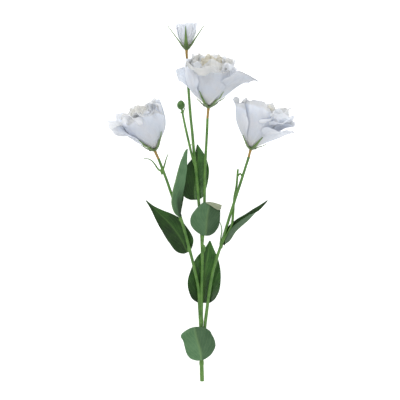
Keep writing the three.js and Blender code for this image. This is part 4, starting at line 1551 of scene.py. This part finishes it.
LEAVES: dict[str, Leaf] = {
    "bottom": Leaf(
        (
            (1, -158.8, 7), (-0.6, -148, 12.4), (-3.2, -138.5, 15.4), (-5, -130.9, 16),
            (-5.8, -125.6, 14.2), (-6, -125.4, 11), (-6.2, -128, 8.6),
        ),
        (3, 9.5, 12.4, 13.8, 14.2, 14, 13.9, 14.8, 5.5, 1), (2, 9.5, 13.5, 16.5, 17.3, 17, 16, 14.5, 9, 1),
        (6, -6), (-10, -8), 0.5, LeafSide.UNDER, (0.08, -0.3), (0.04, -0.1),
    ),
    "low": Leaf(
        ((3.2, -101.2, 4.6), (3.6, -90, 3), (4.6, -76, 1.8), (6, -62, 1.6), (8, -50, 1.4), (9.6, -38.5, 1)),
        (6, 12, 15, 17, 17.4, 16, 13.7, 10.4, 4.6, 0.5), (6, 11, 14, 15.8, 16.2, 15.8, 14.4, 11.4, 5.9, 0.5),
        (5, 6), (5, 3), 0.6, LeafSide.UPPER, (-0.15, 0.05), (-0.35, 0.85),
    ),
    "centre": Leaf(
        (
            (5.4, -33.4, 11), (6, -25, 15), (6.8, -15, 17.4), (8, -7, 17.6), (9.6, -1.4, 16.2),
            (10.2, -0.4, 14),
        ),
        (3, 8, 12, 15, 16.6, 16.8, 15.4, 12.4, 8.6, 4),
        (3, 8, 10.6, 12.4, 13.4, 13.8, 13.6, 13.2, 12.4, 10.5),
        (4, -8), (-8, -12), 0.5, LeafSide.UNDER, (-0.2, -0.5), (0, 0),
        ((
            ((5.5, -0.6, 17.2), (9.5, -2.6, 18.6), (14, -5.6, 18.8), (18, -7.6, 17.4), (20.6, -6.6, 15.6)),
            ((5, 0.3, 15.4), (9.8, 0.6, 15.2), (15, -0.4, 14.8), (19, -1.6, 14.2), (21.4, -2.6, 13.6)),
        ),),
    ),
    "left": Leaf(
        ((-13.4, -50.4, 6.4), (-19.2, -37.8, 4.6), (-29.3, -23.5, 3), (-42, -10.5, 2.2), (-55, 2, 1)),
        (3, 9, 11.4, 12, 12.3, 11.3, 9.7, 6.6, 3.1, 0.5), (3, 8, 11.5, 12, 11.8, 11.6, 8.7, 4.8, 1.6, 0.5),
        (6, 6), (5, 5), 0.6, LeafSide.UPPER, (-0.35, 0.0), (-0.05, 0.1),
    ),
    "folded": Leaf(
        (
            (-20.8, -14.6, 12.8), (-25.6, -10.2, 16.8), (-28.6, -1, 19), (-27.4, 11.5, 19.6),
            (-24.8, 21.7, 19.2), (-22.3, 32, 18.4), (-18.6, 44, 17), (-13.1, 53.8, 14.6),
        ),
        (1.5, 6, 10, 12, 12.4, 10.6, 8.4, 6.4, 4, 0.5), (2, 6, 9, 10, 10.4, 10.4, 9.6, 8.4, 5.6, 0.5),
        (-158, 20), (0, -8), 0.3, LeafSide.UNDER, (0.05, -0.15), (-0.15, 0.1), painted_rim_shade=0.5,
    ),
    "high": Leaf(
        ((-5.6, 2.6, 5.4), (-6, 12, 4), (-4.8, 24, 3), (-3.6, 36, 2.2), (-2.6, 46, 1.8), (-3.1, 58.6, 1)),
        (4, 10.4, 12, 12.7, 12.8, 12.1, 10.7, 6.4, 2.8, 0.5),
        (4, 9.4, 10.8, 12, 12.7, 13, 12.4, 9.7, 5.3, 0.5),
        (4, 4), (6, 5), 0.5, LeafSide.UPPER, (-0.15, 0.6), (-0.1, 0.2),
    ),
    "right": Leaf(
        (
            (23, -42.4, 8.6), (29, -38.2, 8.2), (35, -29.4, 7.8), (41.5, -23.2, 7.4), (48.3, -17.4, 6.8),
            (55.6, -9.5, 5.8), (61, -4, 5), (67.7, 2.1, 4),
        ),
        (2, 6, 8.4, 9, 8.8, 8, 6.5, 4.4, 2, 0.5), (2, 6, 8.6, 9.6, 9.6, 8.6, 6.6, 4.2, 2, 0.5),
        (4, 118), (4, 6), 0.3, LeafSide.UPPER, (-0.1, -0.3), (-0.2, 0.05),
    ),
}


FLAP_TINT = 0.12


def span_between(near: SmoothLine, far: SmoothLine, u: Array, s: Array) -> Array:
    """Returns points of the ruled surface between two lines: on the first at u -1, on the other at u 1."""
    return near.at(s) + (far.at(s) - near.at(s)) * ((u + 1) / 2)[..., None]


@dataclass
class LeafWork:
    """Builds one leaf with a raised midrib, its sides in their own finishes, and any rim that turns over."""

    name: str
    leaf: Leaf
    finishes: Finishes
    grid: SheetGrid = SheetGrid(40, 56, 1.25)
    flap_grid: SheetGrid = SheetGrid(10, 24)
    crowding: float = 1.3
    folded_width: float = 6.0
    least_width: float = 0.2
    ripples: float = 9.0
    ripple_shift: float = 2.0
    rippled_width: float = 5.0
    rib_width: float = 0.7
    rib_height: float = 0.55
    rib_groove: float = 0.12
    rib_tint: float = 0.85
    rib_tint_spread: float = 12.0

    def surface(self, u: Array, s: Array) -> Array:
        """Returns the points of the leaf's middle surface."""
        leaf = self.leaf
        line = SmoothLine(leaf.midrib)
        chord = np.asarray(leaf.midrib[-1], float) - np.asarray(leaf.midrib[0], float)
        across = unit((chord[1], -chord[0], 0))
        along = s**self.crowding
        tangent = line.tangent(along)
        side = across - tangent * (tangent @ across)[..., None]
        side /= np.linalg.norm(side, axis=-1, keepdims=True)
        normal = np.cross(side, tangent)
        on_left = u < 0
        half = np.maximum(self.least_width, np.where(on_left, eased(leaf.left, s), eased(leaf.right, s)))
        fold = np.where(on_left, leaf.fold[0], leaf.fold[1]) * np.minimum(1, half / self.folded_width)
        bend = np.radians(fold + np.where(on_left, leaf.cup[0], leaf.cup[1]) * np.abs(u))
        phase = self.ripples * along + self.ripple_shift * ~on_left
        ripple = leaf.wave * u * u * np.sin(phase) * np.minimum(1, half / self.rippled_width)
        lift = np.abs(u) * half * np.sin(bend) + ripple
        return line.at(along) + side * (u * half * np.cos(bend))[..., None] + normal * lift[..., None]

    def ridge(self, u: Array, s: Array) -> tuple[Array, Array]:
        """Returns the midrib's height on the upper and the lower face."""
        width = np.maximum(1.0, eased(self.leaf.left, s))
        rib = np.exp(-((u * width / self.rib_width) ** 2)) * (1 - 0.75 * s)
        raised, sunk = self.rib_height * rib, -self.rib_groove * rib
        return (sunk, raised) if self.leaf.shows is LeafSide.UPPER else (raised, sunk)

    def build(self) -> bpy.types.Object:
        """Builds the leaf as one piece and returns it."""
        parts = MeshParts()
        slots = (0, 1) if self.leaf.shows is LeafSide.UPPER else (1, 0)
        add_sheet(
            parts, self.grid, self.surface, LEAF_THICKNESS,
            tint=lambda u, s: self.rib_tint * np.exp(-((u * self.rib_tint_spread) ** 2)) * (1 - 0.5 * s),
            ridge=self.ridge, slots=slots, shade=self.leaf.shade,
        )
        # A rim that turns over takes the pale finish with its painted sheen, in the third slot.
        for lower, upper in self.leaf.flaps:
            near, far = SmoothLine(lower), SmoothLine(upper)
            add_sheet(
                parts, self.flap_grid, lambda u, s, near=near, far=far: span_between(near, far, u, s),
                LEAF_THICKNESS, tint=lambda u, s: FLAP_TINT * (1 - u * np.cos(7 * s)), slots=(2, 2),
            )
        finishes = [self.finishes.leaf_upper, self.finishes.leaf_under]
        if self.leaf.flaps:
            finishes.append(self.finishes.leaf_rim_sheen)
        return parts.build("leaf_blade_" + self.name, finishes)


# The small closed bud


@dataclass
class GreenBud:
    """The closed green bud, an egg with shallow grooves between its sepals."""

    finish: bpy.types.Material
    centre: Point = (-19.7, 97.9, 7.0)
    radii: Point = (4.1, 4.5, 4.1)
    sides: int = 60
    rings: int = 32
    sepals: int = 5
    groove_depth: float = 0.07
    groove_power: int = 8
    tip: float = 0.12
    tip_power: int = 6

    def build(self) -> bpy.types.Object:
        """Builds the bud as one piece and returns it."""
        parts = MeshParts()
        add_lathe(parts, AxisFrame((0, 0, 0), ALONG_SPRAY), egg(1, 1, self.rings), self.sides)
        points = parts.points[0]
        around = np.arctan2(points[:, 0], points[:, 2])
        line = np.abs(np.cos(self.sepals / 2 * around)) ** self.groove_power
        groove = 1 - self.groove_depth * line * (1 - points[:, 1] ** 2)
        points[:, 0] *= groove
        points[:, 2] *= groove
        points[:, 1] += self.tip * np.maximum(0, points[:, 1]) ** self.tip_power
        parts.points[0] = points * np.asarray(self.radii) + np.asarray(self.centre)
        return parts.build("closed_bud", [self.finish])


# The stage


class Studio:
    """The plain floor, soft lights and the camera above the spray."""

    CAMERA_HEIGHT = 2.02
    VIEW_CENTRE = (-0.0005, 0.0025)
    LENS = 180
    SENSOR = 36
    FARTHEST = 20
    FLOOR_HALF = 3.0
    SKY = 0.56
    LIGHTS = (("key", (-0.5, 0.9, 1.3), 10, 1.1), ("fill", (0.3, -0.9, 1.2), 6, 1.4))

    def __init__(self, finishes: Finishes) -> None:
        """Makes camera, floor, lights and world."""
        self.make_camera()
        self.make_floor(finishes)
        for name, place, power, size in self.LIGHTS:
            self.make_light(name, place, power, size)
        world = bpy.data.worlds.new("studio")
        world.use_nodes = True
        sky = world.node_tree.nodes["Background"]
        sky.inputs["Color"].default_value = (1, 1, 1, 1)
        sky.inputs["Strength"].default_value = self.SKY
        bpy.context.scene.world = world
        bpy.context.scene.view_settings.view_transform = "Standard"

    def make_camera(self) -> None:
        """Puts the camera straight above the spray."""
        camera = place_in_scene("camera", bpy.data.cameras.new("camera"))
        camera.data.lens = self.LENS
        camera.data.sensor_width = self.SENSOR
        camera.data.clip_end = self.FARTHEST
        camera.location = (*self.VIEW_CENTRE, self.CAMERA_HEIGHT)
        bpy.context.scene.camera = camera

    def make_floor(self, finishes: Finishes) -> None:
        """Makes the floor."""
        half = self.FLOOR_HALF
        corners = [(-half, -half, 0), (half, -half, 0), (half, half, 0), (-half, half, 0)]
        mesh = bpy.data.meshes.new("floor")
        mesh.from_pydata(corners, [], [(0, 1, 2, 3)])
        mesh.materials.append(finishes.make_floor())
        floor = place_in_scene("floor", mesh)

    def make_light(self, name: str, place: Point, power: float, size: float) -> None:
        """Makes one soft square light that looks at the spray."""
        light = bpy.data.lights.new(name, "AREA")
        light.energy = power
        light.size = size
        lamp = place_in_scene(name, light)
        lamp.location = place
        lamp.rotation_euler = Vector(place).to_track_quat("Z", "Y").to_euler()


def settle(piece: bpy.types.Object, slot: str, *nodes: str) -> None:
    """Lets a finished piece ride on the body and stand for its CAD nodes.

    Args:
        piece: The finished piece.
        slot: The record's material slot; not used.
        nodes: The CAD nodes that it stands for.
    """
    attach(piece, BODY)
    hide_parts(*nodes)
    low, high = (pick(vertex.co.z for vertex in piece.data.vertices) / MM for pick in (min, max))
    log.info("%s: %d faces, height %.2f to %.2f mm", piece.name, len(piece.data.polygons), low, high)


def main() -> None:
    """Builds the stage and every piece in order."""
    logging.basicConfig(level=logging.INFO)
    finishes = Finishes()
    Studio(finishes)
    tubes = TubeTool()
    settle(StemWork(tubes, finishes.stem).build(), "stem_green", "stem")
    for name, leaf in LEAVES.items():
        settle(LeafWork(name, leaf, finishes).build(), "leaf_green", "leaf_" + name)
    branches = {"main": STEMS["middle"], "left": STEMS["left"], "right": STEMS["right"], "top": STEMS["back"]}
    for name, bloom in BLOOMS.items():
        work = BloomWork(name, bloom, finishes, tubes, branches[name])
        settle(work.corolla(), "petal_white", "corolla_" + name)
        settle(work.calyx(), "sepal_green", "calyx_" + name)
        settle(work.pedicel(), "pedicel_amber", "pedicel_" + name)
        if bloom.open:
            settle(work.heart(), "heart_cream", "heart_" + name)
    settle(GreenBud(finishes.bud).build(), "sepal_green", "bud_green")


if __name__ == "__main__":
    main()
